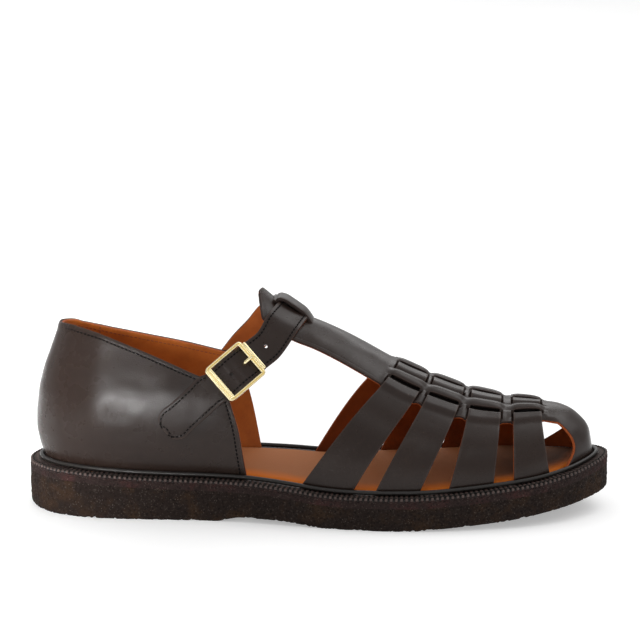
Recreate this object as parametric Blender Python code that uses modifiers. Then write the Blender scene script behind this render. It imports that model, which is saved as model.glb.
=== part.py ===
"""Fisherman sandal for the right foot, European size 43, as an assembly of its maker's pieces.

The sandal's own frame, in millimetres: x runs from the heel's back edge to the toe, y is medial (positive)
or lateral (negative), and z is height above the floor. An empty carries every piece and puts the frame's
origin at the middle of the sandal's footprint. The outline, the heights of the sole and the ridge of the
last are short tables, and every piece is worked out from them.
"""

import math

import bmesh
import bpy
import numpy as np
from mathutils import Matrix, Vector

MM = 0.001
LATERAL, MEDIAL = -1, 1

# Driving dimensions, in millimetres.
SOLE_LENGTH = 300.0
STATIONS = 40  # sections along each side of the outline
GAP = 0.3  # between pieces that meet
WELT_THICKNESS = 2.2
MIDSOLE_THICKNESS = 2.9
SEAT_INSET = 7.6  # from the sole's edge in to the outside of the upper
UPPER_WALL = 2.2
WELT_INNER_INSET = SEAT_INSET + UPPER_WALL + 1.3
BEAD_RADIUS = 1.15
BEAD_INSET = 6.1
INSOLE_RISE = 1.6  # of the insole above the welt
STRAP_THICKNESS = 2.0
STRAP_HALF_WIDTH = 8.2
BUCKLE_STRAP_THICKNESS = 1.5
LOOP_THICKNESS = 1.6
BUCKLE_STRAP_HALF_WIDTH = 8.5
OVER_STEP = 0.9  # a cross strap where it lies over the T-bar
RIDGE_STEP = 1.6  # the T-bar's tongue where it lies over a cross strap
STEP_WIDTH = 0.5  # of the sloping side of such a step

# The edge of the sole seen from above: half widths to each side of the middle line.
OUTLINE = (
    # x, lateral, medial
    (0, 0, 0),
    (5, 16.2, 15.6),
    (20, 30.0, 28.6),
    (40, 35.7, 33.6),
    (65, 37.2, 35.0),
    (90, 37.6, 35.2),
    (112, 40.6, 36.0),
    (139, 46.2, 39.0),
    (169, 51.6, 45.6),
    (190, 53.5, 49.2),
    (206, 53.2, 50.6),
    (230, 49.8, 49.8),
    (254, 43.9, 45.4),
    (279, 31.2, 33.4),
    (293, 17.0, 18.8),
    (300, 0, 0),
)

# The sole seen from the side: its tread and the top of the welt.
SOLE_LINE = (
    # x, tread, welt
    (0, 2.5, 23.4),
    (4, 0.6, 23.6),
    (9, 0, 23.8),
    (20, 0, 23.9),
    (40, 0, 23.1),
    (60, 0, 22.1),
    (98, 0, 21.2),
    (112, 2.6, 21.1),
    (127, 2.5, 20.3),
    (139, 1.8, 19.2),
    (149, 0.5, 18.0),
    (155, 0, 17.5),
    (168, 0, 17.0),
    (198, 0, 17.3),
    (206, 0.6, 17.6),
    (219, 1.6, 18.4),
    (244, 3.7, 20.5),
    (264, 6.1, 22.4),
    (285, 9.3, 25.3),
    (300, 11.6, 27.8),
)

# The ridge of the last over the instep and the forefoot, on the outside of the upper.
RIDGE = (
    # x, y, height
    (119.5, 7.5, 113.0),
    (122, 7.5, 110.4),
    (126, 7.4, 107.2),
    (130, 7.3, 104.4),
    (136, 7.1, 100.6),
    (142, 6.9, 97.6),
    (149, 6.6, 95.4),
    (161, 6.0, 90.2),
    (173, 5.2, 84.2),
    (186, 4.4, 77.4),
    (198, 3.8, 71.6),
    (211, 3.2, 66.2),
    (223, 2.8, 61.8),
    (236, 2.2, 58.4),
    (250, 1.8, 56.0),
    (262, 1.6, 54.8),
    (273, 1.4, 52.4),
    (280, 1.3, 49.8),
    (286, 1.2, 45.2),
    (290, 1.1, 39.4),
    (292.4, 1.0, 26.8),
)

# The T-bar and the woven middle: its centre line, measured round the last from the ridge, and its half width.
T_BAR = (
    # x, centre, half width
    (119.5, -9.0, 11.5),
    (126, -10.0, 13.0),
    (150, -10.5, 14.5),
    (168, -9.5, 17.5),
    (186, -7.5, 21.5),
    (205, -6.0, 24.5),
    (225, -5.0, 24.5),
    (245, -3.5, 22.0),
    (266, -1.0, 16.5),
    (293, 0.0, 12.0),
)

# The cross straps: where each back and front edge stands on the welt, on both sides, and meets the ridge.
CROSS_STRAPS = (
    # lateral back, lateral front, ridge back, ridge front, medial back, medial front
    (142.6, 169.1, 191.5, 206.4, 147.0, 171.5),
    (180.5, 203.1, 209.7, 225.2, 181.4, 203.4),
    (218.1, 240.8, 229.2, 244.6, 213.8, 234.8),
    (251.5, 269.6, 250.6, 264.6, 243.2, 261.4),
)

# The toe cap: sections from the toe windows forward, with how far each bows forward between welt and ridge.
TOE_CAP = (
    # lateral welt, ridge, medial welt, bow
    (278.4, 267.2, 272.0, 9.6),
    (282.4, 273.4, 278.0, 7.2),
    (286.0, 279.2, 283.4, 4.8),
    (289.0, 284.6, 287.4, 2.6),
    (291.0, 289.0, 290.2, 1.0),
    (292.1, 291.6, 291.8, 0.0),
)

# The free T-bar: sections from its curled end forward, each leaning back from the ridge to the welt.
FREE_T_BAR = (
    # ridge, lean
    (120.2, -14.0),
    (122.4, 4.0),
    (125.4, 19.0),
    (130.0, 30.0),
    (138.0, 37.0),
    (147.0, 42.0),
    (158.0, 45.0),
    (170.0, 46.5),
    (181.0, 47.5),
)

# The heel quarter's shape: how far it swells beyond its seat at each height above the welt.
QUARTER_SWELL = (
    # height, at the back, at the sides
    (0, -0.4, -0.4),
    (3, -0.1, -0.2),
    (6.5, 1.8, 1.2),
    (11, 3.0, 2.3),
    (17, 3.7, 3.0),
    (24, 3.6, 3.2),
    (30, 3.0, 2.8),
    (37, 2.2, 1.8),
    (43, 0.8, 0.2),
    (50, -1.2, -2.4),
    (56, -3.4, -4.4),
    (62, -5.6, -6.2),
    (68, -7.8, -8.0),
    (73, -10.4, -9.8),
)

# The quarter's top edge, by the place on the sole's edge that it stands over.
TOP_LINE = (
    # x, lateral height, medial height
    (0, 95.8, 95.8),
    (14, 96.6, 94.2),
    (38, 94.2, 89.8),
    (64, 87.3, 85.0),
    (90, 78.4, 80.2),
    (113, 69.0, 74.6),
)

# The quarter's front edges, leaning back as they rise.
FRONT_EDGE = (
    # height, lateral x, medial x
    (20, 113.6, 118.4),
    (44, 110.7, 114.0),
    (62, 105.1, 109.4),
    (76, 99.6, 104.6),
)

SIDE_FRACTIONS = (0, 0.08, 0.24, 0.42, 0.6, 0.78, 0.92, 1.0)
QUARTER_COLUMNS = 15  # on each side of the heel
QUARTER_RISES = (0, 0.04, 0.09, 0.17, 0.27, 0.37, 0.47, 0.58, 0.69, 0.8, 0.9, 1.0)
BOW_TOP = 0.62  # how far up the last, as a share of its turn, the toe cap's sections bow forward
SIDE_SWELL_OF_LAST = 2.2  # how far the last stands out beyond an ellipse halfway up its side

# The buckle: its centre, the strap's direction through it and the direction across it.
BUCKLE_CENTRE = Vector((109.4, -32.3, 77.4))
BUCKLE_ALONG = Vector((0.720, 0.295, 0.629)).normalized()
BUCKLE_ACROSS = Vector((0.694, -0.249, -0.677)).normalized()
BUCKLE_OUT = BUCKLE_ACROSS.cross(BUCKLE_ALONG).normalized()
FRAME_HALF_LENGTH = 10.8
FRAME_HALF_WIDTH = 10.0
FRAME_CORNER = 2.0
CENTRE_BAR_RADIUS = 0.8
CENTRE_BAR_DEPTH = -4.0
PRONG_RADIUS = 0.6
ROLLER_SHARE = 1.3  # how much wider the bar under the prong's tip is
PRONG_ACROSS = 1.0  # the prong's place across the strap

# Where the sewn end of the buckle strap lies on the quarter, seen from the side: its place, the strap's
# direction and the direction across it, each along x and z.
BUCKLE_STRAP_START = Vector((73.4, 46.1))
BUCKLE_STRAP_RUN = Vector((0.745, 0.669))
BUCKLE_STRAP_ACROSS = Vector((0.668, -0.744))
T_BAR_LEAN = 40.0  # how far back of its ridge a section over the instep stands at the welt
INSTEP_SHARE = 0.88  # of a strap's width that shows along x where it crosses the instep
MEDIAL_SHARE = 0.7  # of its width along x and z where it runs down the medial side

# Across the woven middle, as shares of its half width: margin, ridge, centre, ridge, margin.
WEAVE_ZONES = (
    # start, end, zone, parts
    (-1.0, -0.60, "margin", 1),
    (-0.60, -0.27, "ridge", 2),
    (-0.27, 0.27, "centre", 2),
    (0.27, 0.60, "ridge", 2),
    (0.60, 1.0, "margin", 1),
)

# The instep strap's middle layer through the buckle, along it and out from its centre plane.
BUCKLE_PASS = (
    # along, out
    (-11.9, -2.4),
    (-9.0, -2.35),
    (-6.0, -1.45),
    (-3.0, -0.3),
    (0.0, 0.1),
    (3.0, -0.3),
    (6.0, -1.45),
    (9.0, -2.5),
    (13.0, -2.8),
    (22.0, -4.7),
)

# Over the instep: the strap's middle on the ridge line, the distance round the last and the rise above it.
INSTEP_PASS = (
    # x, round, rise
    (136.2, -20.5, 2.0),
    (136.8, -14.0, 1.7),
    (137.6, -7.0, 1.6),
    (138.0, 0.0, 1.6),
    (137.8, 6.0, 1.6),
    (137.0, 12.0, 1.6),
)

# Down the medial side: the strap's middle.
MEDIAL_PASS = (
    # x, z
    (118.5, 84.8),
    (111.5, 76.9),
    (103.4, 66.6),
    (96.5, 58.0),
)

# The loop's underside, from behind the strap to before it: the place on the ridge and the rise above it.
LOOP_PASS = (
    # x, rise
    (126.2, 0.5),
    (128.0, 0.6),
    (129.2, 3.6),
    (132.0, 4.2),
    (137.0, 4.4),
    (142.0, 3.5),
    (145.8, 3.3),
    (147.2, 0.6),
    (150.0, 0.5),
)

# The buckle strap's half width from its sewn end, at distances along it.
BUCKLE_STRAP_END = (
    # distance, half width
    (0.0, 3.6),
    (0.7, 5.6),
    (2.0, 7.2),
    (4.2, BUCKLE_STRAP_HALF_WIDTH),
    (12.0, BUCKLE_STRAP_HALF_WIDTH),
    (22.0, BUCKLE_STRAP_HALF_WIDTH),
    (32.5, BUCKLE_STRAP_HALF_WIDTH),
)

# The buckle strap's middle layer from the quarter's front edge to the centre bar.
FREE_PASS = (
    # along, out
    (-10.3, -4.45),
    (-6.0, -3.7),
    (-3.0, -2.65),
)

# The frame's section: outward from its middle line, and up; the top has two ridges with a groove between.
FRAME_SECTION = (
    # outward, up
    (-1.3, -1.0),
    (-1.3, 0.6),
    (-0.8, 1.1),
    (-0.1, 0.65),
    (0.6, 1.1),
    (1.3, 0.5),
    (1.3, -1.0),
)

# The prong's middle line after its turn round the centre bar.
PRONG_PASS = (
    # along, out
    (2.0, -2.45),
    (3.8, -2.6),
    (5.0, -2.3),
    (6.2, -0.9),
    (7.2, 0.7),
    (8.2, 1.75),
    (9.4, 2.15),
    (11.4, 2.2),
)


class Profile:
    """A smooth curve through the rows of a table that doesn't overshoot between them."""

    def __init__(self, table, column, position=None):
        position = position or (lambda x: x)
        self.x = np.array([position(row[0]) for row in table], float)
        self.y = np.array([row[column] for row in table], float)
        steps = np.diff(self.x)
        slopes = np.diff(self.y) / steps
        self.m = np.empty_like(self.y)
        self.m[0], self.m[-1] = slopes[0], slopes[-1]
        for i in range(1, len(slopes)):
            before, after = slopes[i - 1], slopes[i]
            if before * after <= 0:
                self.m[i] = 0.0
                continue
            heavy, light = 2 * steps[i] + steps[i - 1], steps[i] + 2 * steps[i - 1]
            self.m[i] = (heavy + light) / (heavy / before + light / after)

    def __call__(self, x):
        x = min(max(x, self.x[0]), self.x[-1])
        i = min(int(np.searchsorted(self.x, x, side="right")) - 1, len(self.x) - 2)
        step = self.x[i + 1] - self.x[i]
        t = (x - self.x[i]) / step
        start = (1 + 2 * t) * (1 - t) ** 2 * self.y[i] + t * (1 - t) ** 2 * step * self.m[i]
        end = t * t * (3 - 2 * t) * self.y[i + 1] + t * t * (t - 1) * step * self.m[i + 1]
        return float(start + end)


def angle_at(x):
    """The place x along the sole as an angle, so that the outline's ends come out round."""
    return math.acos(min(max(1 - 2 * x / SOLE_LENGTH, -1.0), 1.0))


HALF_WIDTH = {LATERAL: Profile(OUTLINE, 1, angle_at), MEDIAL: Profile(OUTLINE, 2, angle_at)}
TREAD = Profile(SOLE_LINE, 1)
WELT_TOP = Profile(SOLE_LINE, 2)
RIDGE_Y = Profile(RIDGE, 1)
RIDGE_Z = Profile(RIDGE, 2)
T_BAR_CENTRE = Profile(T_BAR, 1)
T_BAR_HALF = Profile(T_BAR, 2)
BACK_SWELL = Profile(QUARTER_SWELL, 1)
SIDE_SWELL = Profile(QUARTER_SWELL, 2)
TOP_HEIGHT = {LATERAL: Profile(TOP_LINE, 1), MEDIAL: Profile(TOP_LINE, 2)}
FRONT_X = {LATERAL: Profile(FRONT_EDGE, 1), MEDIAL: Profile(FRONT_EDGE, 2)}


# ---------------------------------------------------------------- the outline and the last


def edge_point(side, angle, inset=0.0):
    """A point on the sole's outline, moved in by inset, and the outward direction there, both in plan."""

    def at(a):
        return Vector((SOLE_LENGTH / 2 * (1 - math.cos(a)), side * HALF_WIDTH[side](a)))

    step = 0.01
    tangent = at(min(angle + step, math.pi)) - at(max(angle - step, 0.0))
    if angle < step:
        tangent = Vector((0, side))
    elif angle > math.pi - step:
        tangent = Vector((0, -side))
    outward = side * Vector((-tangent.y, tangent.x)).normalized()
    return at(angle) - inset * outward, outward


def edge_at_x(side, x, inset):
    """The y of the inset outline at x, found by halving."""
    low, high = 0.0, math.pi
    for _ in range(30):
        middle = (low + high) / 2
        if edge_point(side, middle, inset)[0].x < x:
            low = middle
        else:
            high = middle
    return edge_point(side, (low + high) / 2, inset)[0].y


def ring(inset, height):
    """The inset outline as a loop of points: lateral side forward, medial side back."""
    angles = [math.pi * i / STATIONS for i in range(STATIONS + 1)]
    loop = [edge_point(LATERAL, a, inset)[0] for a in angles]
    loop += [edge_point(MEDIAL, a, inset)[0] for a in reversed(angles[1:-1])]
    return [Vector((p.x, p.y, height(p.x))) for p in loop]


def last_point(x, side, rise, lift=0.0):
    """A point on the upper's outside: at x, rise 0 at the welt to 1 at the ridge, lifted clear by lift."""
    angle = rise * math.pi / 2
    foot = edge_at_x(side, x, SEAT_INSET - lift)
    floor = WELT_TOP(x) + GAP
    top = RIDGE_Z(x) + lift
    ridge_y = RIDGE_Y(x)
    swell = side * SIDE_SWELL_OF_LAST * math.sin(math.pi * rise) * min(1.0, abs(foot - ridge_y) / 30)
    return Vector((
        x,
        ridge_y + (foot - ridge_y) * math.cos(angle) + swell * math.cos(angle),
        floor + max(top - floor, 0.0) * math.sin(angle),
    ))


class Section:
    """One section of the upper across the last, from the lateral welt over the ridge to the medial welt."""

    SAMPLES = 36

    def __init__(self, lateral, ridge, medial, bow=0.0, lift=0.0):
        points = []
        for side, foot in ((LATERAL, lateral), (MEDIAL, medial)):
            half = []
            for i in range(self.SAMPLES + 1):
                rise = i / self.SAMPLES
                forward = math.sin(rise * math.pi / 2)
                bulge = math.sin(math.pi * min(rise / BOW_TOP, 1.0)) ** 0.8
                x = foot + (ridge - foot) * forward + bow * bulge
                half.append(last_point(min(x, RIDGE[-1][0]), side, rise, lift))
            points += half if side == LATERAL else half[-2::-1]
        self.points = points
        lengths = [(b - a).length for a, b in zip(points, points[1:])]
        self.run = np.concatenate([[0.0], np.cumsum(lengths)])
        self.ridge_run = float(self.run[self.SAMPLES])
        self.ridge_x = ridge

    def at(self, run):
        """The point at a distance along the section."""
        run = min(max(run, 0.0), float(self.run[-1]))
        i = min(int(np.searchsorted(self.run, run, side="right")) - 1, len(self.points) - 2)
        span = float(self.run[i + 1] - self.run[i]) or 1.0
        return self.points[i].lerp(self.points[i + 1], (run - float(self.run[i])) / span)

    def columns(self):
        """The runs of the grid's columns, with the zone of each."""
        centre = self.ridge_run + T_BAR_CENTRE(self.ridge_x)
        half = T_BAR_HALF(self.ridge_x)
        room = min(centre, float(self.run[-1]) - centre)
        half = min(half, 0.8 * room)
        step = min(STEP_WIDTH / 2, 0.03 * half)
        weave = []
        for start, end, zone, parts in WEAVE_ZONES:
            for i in range(parts + 1):
                place = half * (start + (end - start) * i / parts)
                place += step * ((i == 0) - (i == parts))
                weave.append((centre + place, zone))
        weave[0] = (centre - half, "margin")
        weave[-1] = (centre + half, "margin")
        near, far = weave[0][0], weave[-1][0]
        whole = float(self.run[-1])
        lateral = [(near * f, "side") for f in SIDE_FRACTIONS[:-1]]
        medial = [(whole - (whole - far) * f, "side") for f in reversed(SIDE_FRACTIONS[:-1])]
        return lateral + weave + medial


# ---------------------------------------------------------------- Blender helpers


def material(name, colour, roughness, metallic=0.0):
    """A Principled material of one colour."""
    made = bpy.data.materials.new(name)
    made.use_nodes = True
    shader = made.node_tree.nodes["Principled BSDF"]
    shader.inputs["Base Color"].default_value = (*colour, 1.0)
    shader.inputs["Roughness"].default_value = roughness
    shader.inputs["Metallic"].default_value = metallic
    return made


def finish(bm, name, finish_material, parent, collection):
    """Makes the named object from a bmesh in millimetres."""
    bmesh.ops.scale(bm, vec=(MM, MM, MM), verts=bm.verts)
    mesh = bpy.data.meshes.new(name)
    bm.to_mesh(mesh)
    bm.free()
    mesh.shade_smooth()
    mesh.set_sharp_from_angle(angle=math.radians(40))
    mesh.materials.append(finish_material)
    made = bpy.data.objects.new(name, mesh)
    collection.objects.link(made)
    made.parent = parent
    return made


def sheet(rows, closed=False):
    """A bmesh of four-sided faces between rows of points, ready to carry a vertex group."""
    bm = bmesh.new()
    bm.verts.layers.deform.verify()
    grid = [[bm.verts.new(p) for p in row] for row in rows]
    count = len(rows[0])
    for a, b in zip(grid, grid[1:]):
        for i in range(count if closed else count - 1):
            j = (i + 1) % count
            bm.faces.new((a[i], a[j], b[j], b[i]))
    return bm, grid


def cap(bm, loop, upward):
    """Closes a ring with strips across from the lateral to the medial side."""
    count = len(loop)
    for i in range(count // 2):
        corners = [loop[i], loop[i + 1], loop[(count - i - 1) % count], loop[(count - i) % count]]
        corners = list(dict.fromkeys(corners))
        bm.faces.new(corners if upward else corners[::-1])


def slab(levels):
    """A closed layer of the sole through rings, each an inset and a height over x, bottom to top."""
    bm, grid = sheet([ring(inset, height) for inset, height in levels], closed=True)
    cap(bm, grid[0], upward=False)
    cap(bm, grid[-1], upward=True)
    bmesh.ops.recalc_face_normals(bm, faces=bm.faces)
    return bm


def above_welt(rise):
    """The height of something that follows the welt, at a constant rise above it."""
    return lambda x: WELT_TOP(x) + rise


def wall(made, thickness, offset, group=""):
    """Gives an open surface its thickness, in millimetres."""
    modifier = made.modifiers.new("Wall", "SOLIDIFY")
    modifier.thickness = thickness * MM
    modifier.offset = offset
    modifier.use_even_offset = True
    modifier.vertex_group = group
    return modifier


def face_away(bm, inside):
    """Turns an open surface over where it faces a point on its inner side."""
    bm.normal_update()
    away = sum(face.normal.dot(face.calc_center_median() - inside) * face.calc_area() for face in bm.faces)
    if away < 0:
        bmesh.ops.reverse_faces(bm, faces=bm.faces)
    bm.normal_update()


def inset_grid(bm, depth):
    """Moves an open surface over the foot inward by depth, its foot level with where it stands."""
    face_away(bm, Vector((210, 0, 20)))
    moves = [(vert, vert.normal * -depth) for vert in bm.verts]
    for vert, move in moves:
        if vert.co.z < WELT_TOP(vert.co.x) + 2 * GAP:
            move.z = 0.0
        vert.co += move


def smooth_rows(rows, count):
    """More rows through the given ones, each column on a smooth curve spaced by the middle column."""
    middle = [row[len(row) // 2] for row in rows]
    run = np.concatenate([[0.0], np.cumsum([(b - a).length for a, b in zip(middle, middle[1:])])])
    columns = []
    for j in range(len(rows[0])):
        axes = [Profile(list(zip(run, [row[j][axis] for row in rows])), 1) for axis in range(3)]
        columns.append([Vector([axis(s) for axis in axes]) for s in np.linspace(0, run[-1], count)])
    return [list(row) for row in zip(*columns)]


def tube(name, points, radius, finish_material, parent, collection, closed=False, sides=2):
    """A round bar of radius millimetres along points."""
    curve = bpy.data.curves.new(name, "CURVE")
    curve.dimensions = "3D"
    curve.bevel_depth = radius * MM
    curve.bevel_resolution = sides
    curve.use_fill_caps = not closed
    spline = curve.splines.new("POLY")
    spline.points.add(len(points) - 1)
    for slot, point in zip(spline.points, points):
        slot.co = (*(Vector(point) * MM), 1.0)
    spline.use_cyclic_u = closed
    curve.materials.append(finish_material)
    made = bpy.data.objects.new(name, curve)
    collection.objects.link(made)
    made.parent = parent
    return made


def as_mesh(curve_object):
    """Turns a curve object into a mesh object with welded caps."""
    graph = bpy.context.evaluated_depsgraph_get()
    mesh = bpy.data.meshes.new_from_object(curve_object.evaluated_get(graph))
    bm = bmesh.new()
    bm.from_mesh(mesh)
    bmesh.ops.remove_doubles(bm, verts=bm.verts, dist=1e-6)
    bmesh.ops.recalc_face_normals(bm, faces=bm.faces)
    bm.to_mesh(mesh)
    bm.free()
    made = bpy.data.objects.new(curve_object.name + "_mesh", mesh)
    for holder in curve_object.users_collection:
        holder.objects.link(made)
    made.parent = curve_object.parent
    made.matrix_local = curve_object.matrix_local
    bpy.data.objects.remove(curve_object)
    return made


def combine(target, other, operation, tools):
    """A Boolean of other on target, with other kept as a hidden tool."""
    for holder in list(other.users_collection):
        holder.objects.unlink(other)
    tools.objects.link(other)
    other.hide_render = True
    other.display_type = "WIRE"
    modifier = target.modifiers.new(other.name, "BOOLEAN")
    modifier.operation = operation
    modifier.object = other
    modifier.solver = "EXACT"


# ---------------------------------------------------------------- the sole


def build_sole(root, parts):
    """The outsole, midsole, welt, its bead and the insole."""
    crepe = material("crepe", (0.035, 0.022, 0.018), 0.9)
    rubber = material("midsole_rubber", (0.06, 0.025, 0.022), 0.75)
    edge = material("welt_leather", (0.018, 0.015, 0.014), 0.6)
    polished = material("bead_leather", (0.016, 0.013, 0.012), 0.3)
    lining = material("insole_leather", (0.42, 0.16, 0.045), 0.55)

    welt_floor = -WELT_THICKNESS
    midsole_top = welt_floor - GAP
    midsole_floor = midsole_top - MIDSOLE_THICKNESS
    crepe_top = midsole_floor - GAP
    outsole = slab((
        (2.2, TREAD),
        (0.7, lambda x: TREAD(x) + 1.6),
        (0.0, lambda x: TREAD(x) + 4.4),
        (0.1, above_welt(crepe_top - 2.6)),
        (0.9, above_welt(crepe_top)),
    ))
    finish(outsole, "outsole", crepe, root, parts)
    midsole = slab((
        (1.0, above_welt(midsole_floor)),
        (0.6, above_welt(midsole_floor + 0.6)),
        (0.6, above_welt(midsole_top - 0.6)),
        (1.0, above_welt(midsole_top)),
    ))
    finish(midsole, "midsole", rubber, root, parts)
    insole = slab((
        (WELT_INNER_INSET + 0.3, above_welt(welt_floor)),
        (WELT_INNER_INSET + 0.3, above_welt(INSOLE_RISE - 1.1)),
        (WELT_INNER_INSET + 0.8, above_welt(INSOLE_RISE - 0.3)),
        (WELT_INNER_INSET + 2.4, above_welt(INSOLE_RISE)),
    ))
    finish(insole, "insole", lining, root, parts)

    section = (
        # inset, rise
        (0.5, -WELT_THICKNESS),
        (0.0, -WELT_THICKNESS + 0.5),
        (0.0, -0.5),
        (0.6, 0.0),
        (WELT_INNER_INSET, 0.0),
        (WELT_INNER_INSET, -WELT_THICKNESS),
    )
    rows = [ring(inset, above_welt(rise)) for inset, rise in section]
    welt, _ = sheet(rows + rows[:1], closed=True)
    bmesh.ops.remove_doubles(welt, verts=welt.verts, dist=1e-4)
    bmesh.ops.recalc_face_normals(welt, faces=welt.faces)
    finish(welt, "welt", edge, root, parts)

    bead_line = ring(BEAD_INSET, above_welt(GAP + BEAD_RADIUS))
    bead = tube("welt_bead", bead_line, BEAD_RADIUS, polished, root, parts, closed=True, sides=1)
    as_mesh(bead).name = "welt_bead"


# ---------------------------------------------------------------- the upper


def quarter_point(side, share, rise, lift=0.0):
    """A point on the outside of the heel quarter: share 0 at the heel's back to 1 at the front edge,
    rise 0 at the welt to 1 at the top edge, moved outward by lift."""
    front = angle_at(FRONT_X[side](WELT_TOP(FRONT_EDGE[0][1])))
    foot = edge_point(side, share * front, SEAT_INSET)[0]
    top = TOP_HEIGHT[side](SOLE_LENGTH / 2 * (1 - math.cos(share * front)))
    floor = WELT_TOP(foot.x) + GAP
    height = floor + rise * (top - floor)
    angle = share * angle_at(FRONT_X[side](height))
    edge, outward = edge_point(side, angle)
    back = max(-outward.x, 0.0) ** 2
    swell = back * BACK_SWELL(height - floor) + (1 - back) * SIDE_SWELL(height - floor)
    place = edge + (swell + lift - SEAT_INSET) * outward
    return Vector((place.x, place.y, height))


def quarter_at(side, x, z, lift=0.0):
    """The point on the quarter's outside, or on its smooth continuation, at x and height z near its front."""
    floor = WELT_TOP(x) + GAP
    inset = SEAT_INSET - SIDE_SWELL(z - floor) - lift
    return Vector((x, edge_at_x(side, x, inset), z))


def build_quarter(root, parts, leather):
    """The closed back of the sandal, one wall round the heel."""
    shares = [i / QUARTER_COLUMNS for i in range(QUARTER_COLUMNS + 1)]
    stations = [(LATERAL, s) for s in reversed(shares)] + [(MEDIAL, s) for s in shares[1:]]
    rows = []
    for rise in QUARTER_RISES:
        rows.append([quarter_point(side, share, rise) for side, share in stations])
    bm, _ = sheet(rows)
    face_away(bm, Vector((60, 0, 50)))
    quarter = finish(bm, "quarter", leather, root, parts)
    wall(quarter, UPPER_WALL, -1.0)
    return quarter


def vamp_sections():
    """The vamp's sections from the T-bar's end to the toe, each with its zone."""
    sections = []
    for ridge, lean in FREE_T_BAR:
        foot = ridge - lean
        sections.append((Section(foot, ridge, foot), "bar"))
    for lateral_back, lateral_front, back, front, medial_back, medial_front in CROSS_STRAPS:
        step = STEP_WIDTH
        for share, zone, nudge in (
            (0.0, "bar", -step),
            (0.0, "strap", 0.0),
            (0.5, "strap", 0.0),
            (1.0, "strap", 0.0),
            (1.0, "bar", step),
        ):
            lateral = lateral_back + share * (lateral_front - lateral_back) + nudge
            ridge = back + share * (front - back) + nudge
            medial = medial_back + share * (medial_front - medial_back) + nudge
            sections.append((Section(lateral, ridge, medial), zone))
    for lateral, ridge, medial, bow in TOE_CAP:
        sections.append((Section(lateral, ridge, medial, bow), "toe"))
    return sections


def relief(zone, column_zone, share):
    """How far the wall stands out over its plain thickness; share runs 0 to 1 up a strap's side."""
    if zone != "strap":
        return 0.0
    if column_zone == "side":
        return OVER_STEP * max(0.0, (share - 0.7) / 0.3)
    return RIDGE_STEP if column_zone == "ridge" else OVER_STEP


def build_vamp(root, parts, leather):
    """The T-bar, the four cross straps woven through it and the toe cap, as one wall with raised strips."""
    sections = vamp_sections()
    layout = [(section.columns(), section) for section, _ in sections]
    rows = [[section.at(run) for run, _ in columns] for columns, section in layout]
    zones = [zone for _, zone in sections]
    column_zones = [zone for _, zone in layout[0][0]]
    bm, grid = sheet(rows)
    layer = bm.verts.layers.deform.active
    greatest = UPPER_WALL + RIDGE_STEP
    side_count = len(SIDE_FRACTIONS) - 1
    for zone, row in zip(zones, grid):
        for j, vert in enumerate(row):
            near_edge = min(j, len(row) - 1 - j)
            share = SIDE_FRACTIONS[near_edge] if near_edge < side_count else 1.0
            vert[layer][0] = (UPPER_WALL + relief(zone, column_zones[j], share)) / greatest
    windows = []
    for i, (here, ahead) in enumerate(zip(zones, zones[1:])):
        if here == ahead and here != "bar":
            continue
        for j in range(len(column_zones) - 1):
            if "side" in (column_zones[j], column_zones[j + 1]):
                corners = {grid[i][j], grid[i][j + 1], grid[i + 1][j], grid[i + 1][j + 1]}
                windows += [face for face in grid[i][j].link_faces if set(face.verts) == corners]
    bmesh.ops.delete(bm, geom=windows, context="FACES")
    tip = bm.verts.new(last_point(RIDGE[-1][0], LATERAL, 0.0))
    tip[layer][0] = UPPER_WALL / greatest
    for a, b in zip(grid[-1], grid[-1][1:]):
        bm.faces.new((a, b, tip))
    inset_grid(bm, UPPER_WALL)
    vamp = finish(bm, "vamp", leather, root, parts)
    vamp.vertex_groups.new(name="thickness")
    modifier = wall(vamp, greatest, 1.0, "thickness")
    modifier.thickness_vertex_group = 0.0
    return vamp


def on_t_bar(x, round_run, lift):
    """A point over the T-bar: at x on its ridge, a distance round the last from the ridge, lifted clear."""
    section = Section(x - T_BAR_LEAN, x, x - T_BAR_LEAN, lift=lift)
    return section.at(section.ridge_run + round_run)


def build_instep_strap(root, parts, leather):
    """The strap from the medial quarter over the instep and down through the buckle."""
    rows = []
    for along, out in BUCKLE_PASS:
        rows.append([in_buckle(along, across, out) for across in (-STRAP_HALF_WIDTH, 0.0, STRAP_HALF_WIDTH)])
    for x, round_run, rise in INSTEP_PASS:
        reach = STRAP_HALF_WIDTH * INSTEP_SHARE
        rows.append([on_t_bar(x + shift, round_run, rise) for shift in (-reach, 0.0, reach)])
    lift = 2 * GAP + STRAP_THICKNESS / 2
    for x, z in MEDIAL_PASS:
        shift = STRAP_HALF_WIDTH * MEDIAL_SHARE
        rows.append([
            quarter_at(MEDIAL, x - shift, z + shift, lift),
            quarter_at(MEDIAL, x, z, lift),
            quarter_at(MEDIAL, x + shift, z - shift, lift),
        ])
    bm, _ = sheet(smooth_rows(rows, 34))
    strap = finish(bm, "instep_strap", leather, root, parts)
    wall(strap, STRAP_THICKNESS, 0.0)
    return strap


def spread(half):
    """Five places across a strap of this half width."""
    return [half * share for share in (-1.0, -0.5, 0.0, 0.5, 1.0)]


def in_buckle(along, across, out):
    """A point given in the buckle's own directions."""
    return BUCKLE_CENTRE + along * BUCKLE_ALONG + across * BUCKLE_ACROSS + out * BUCKLE_OUT


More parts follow.
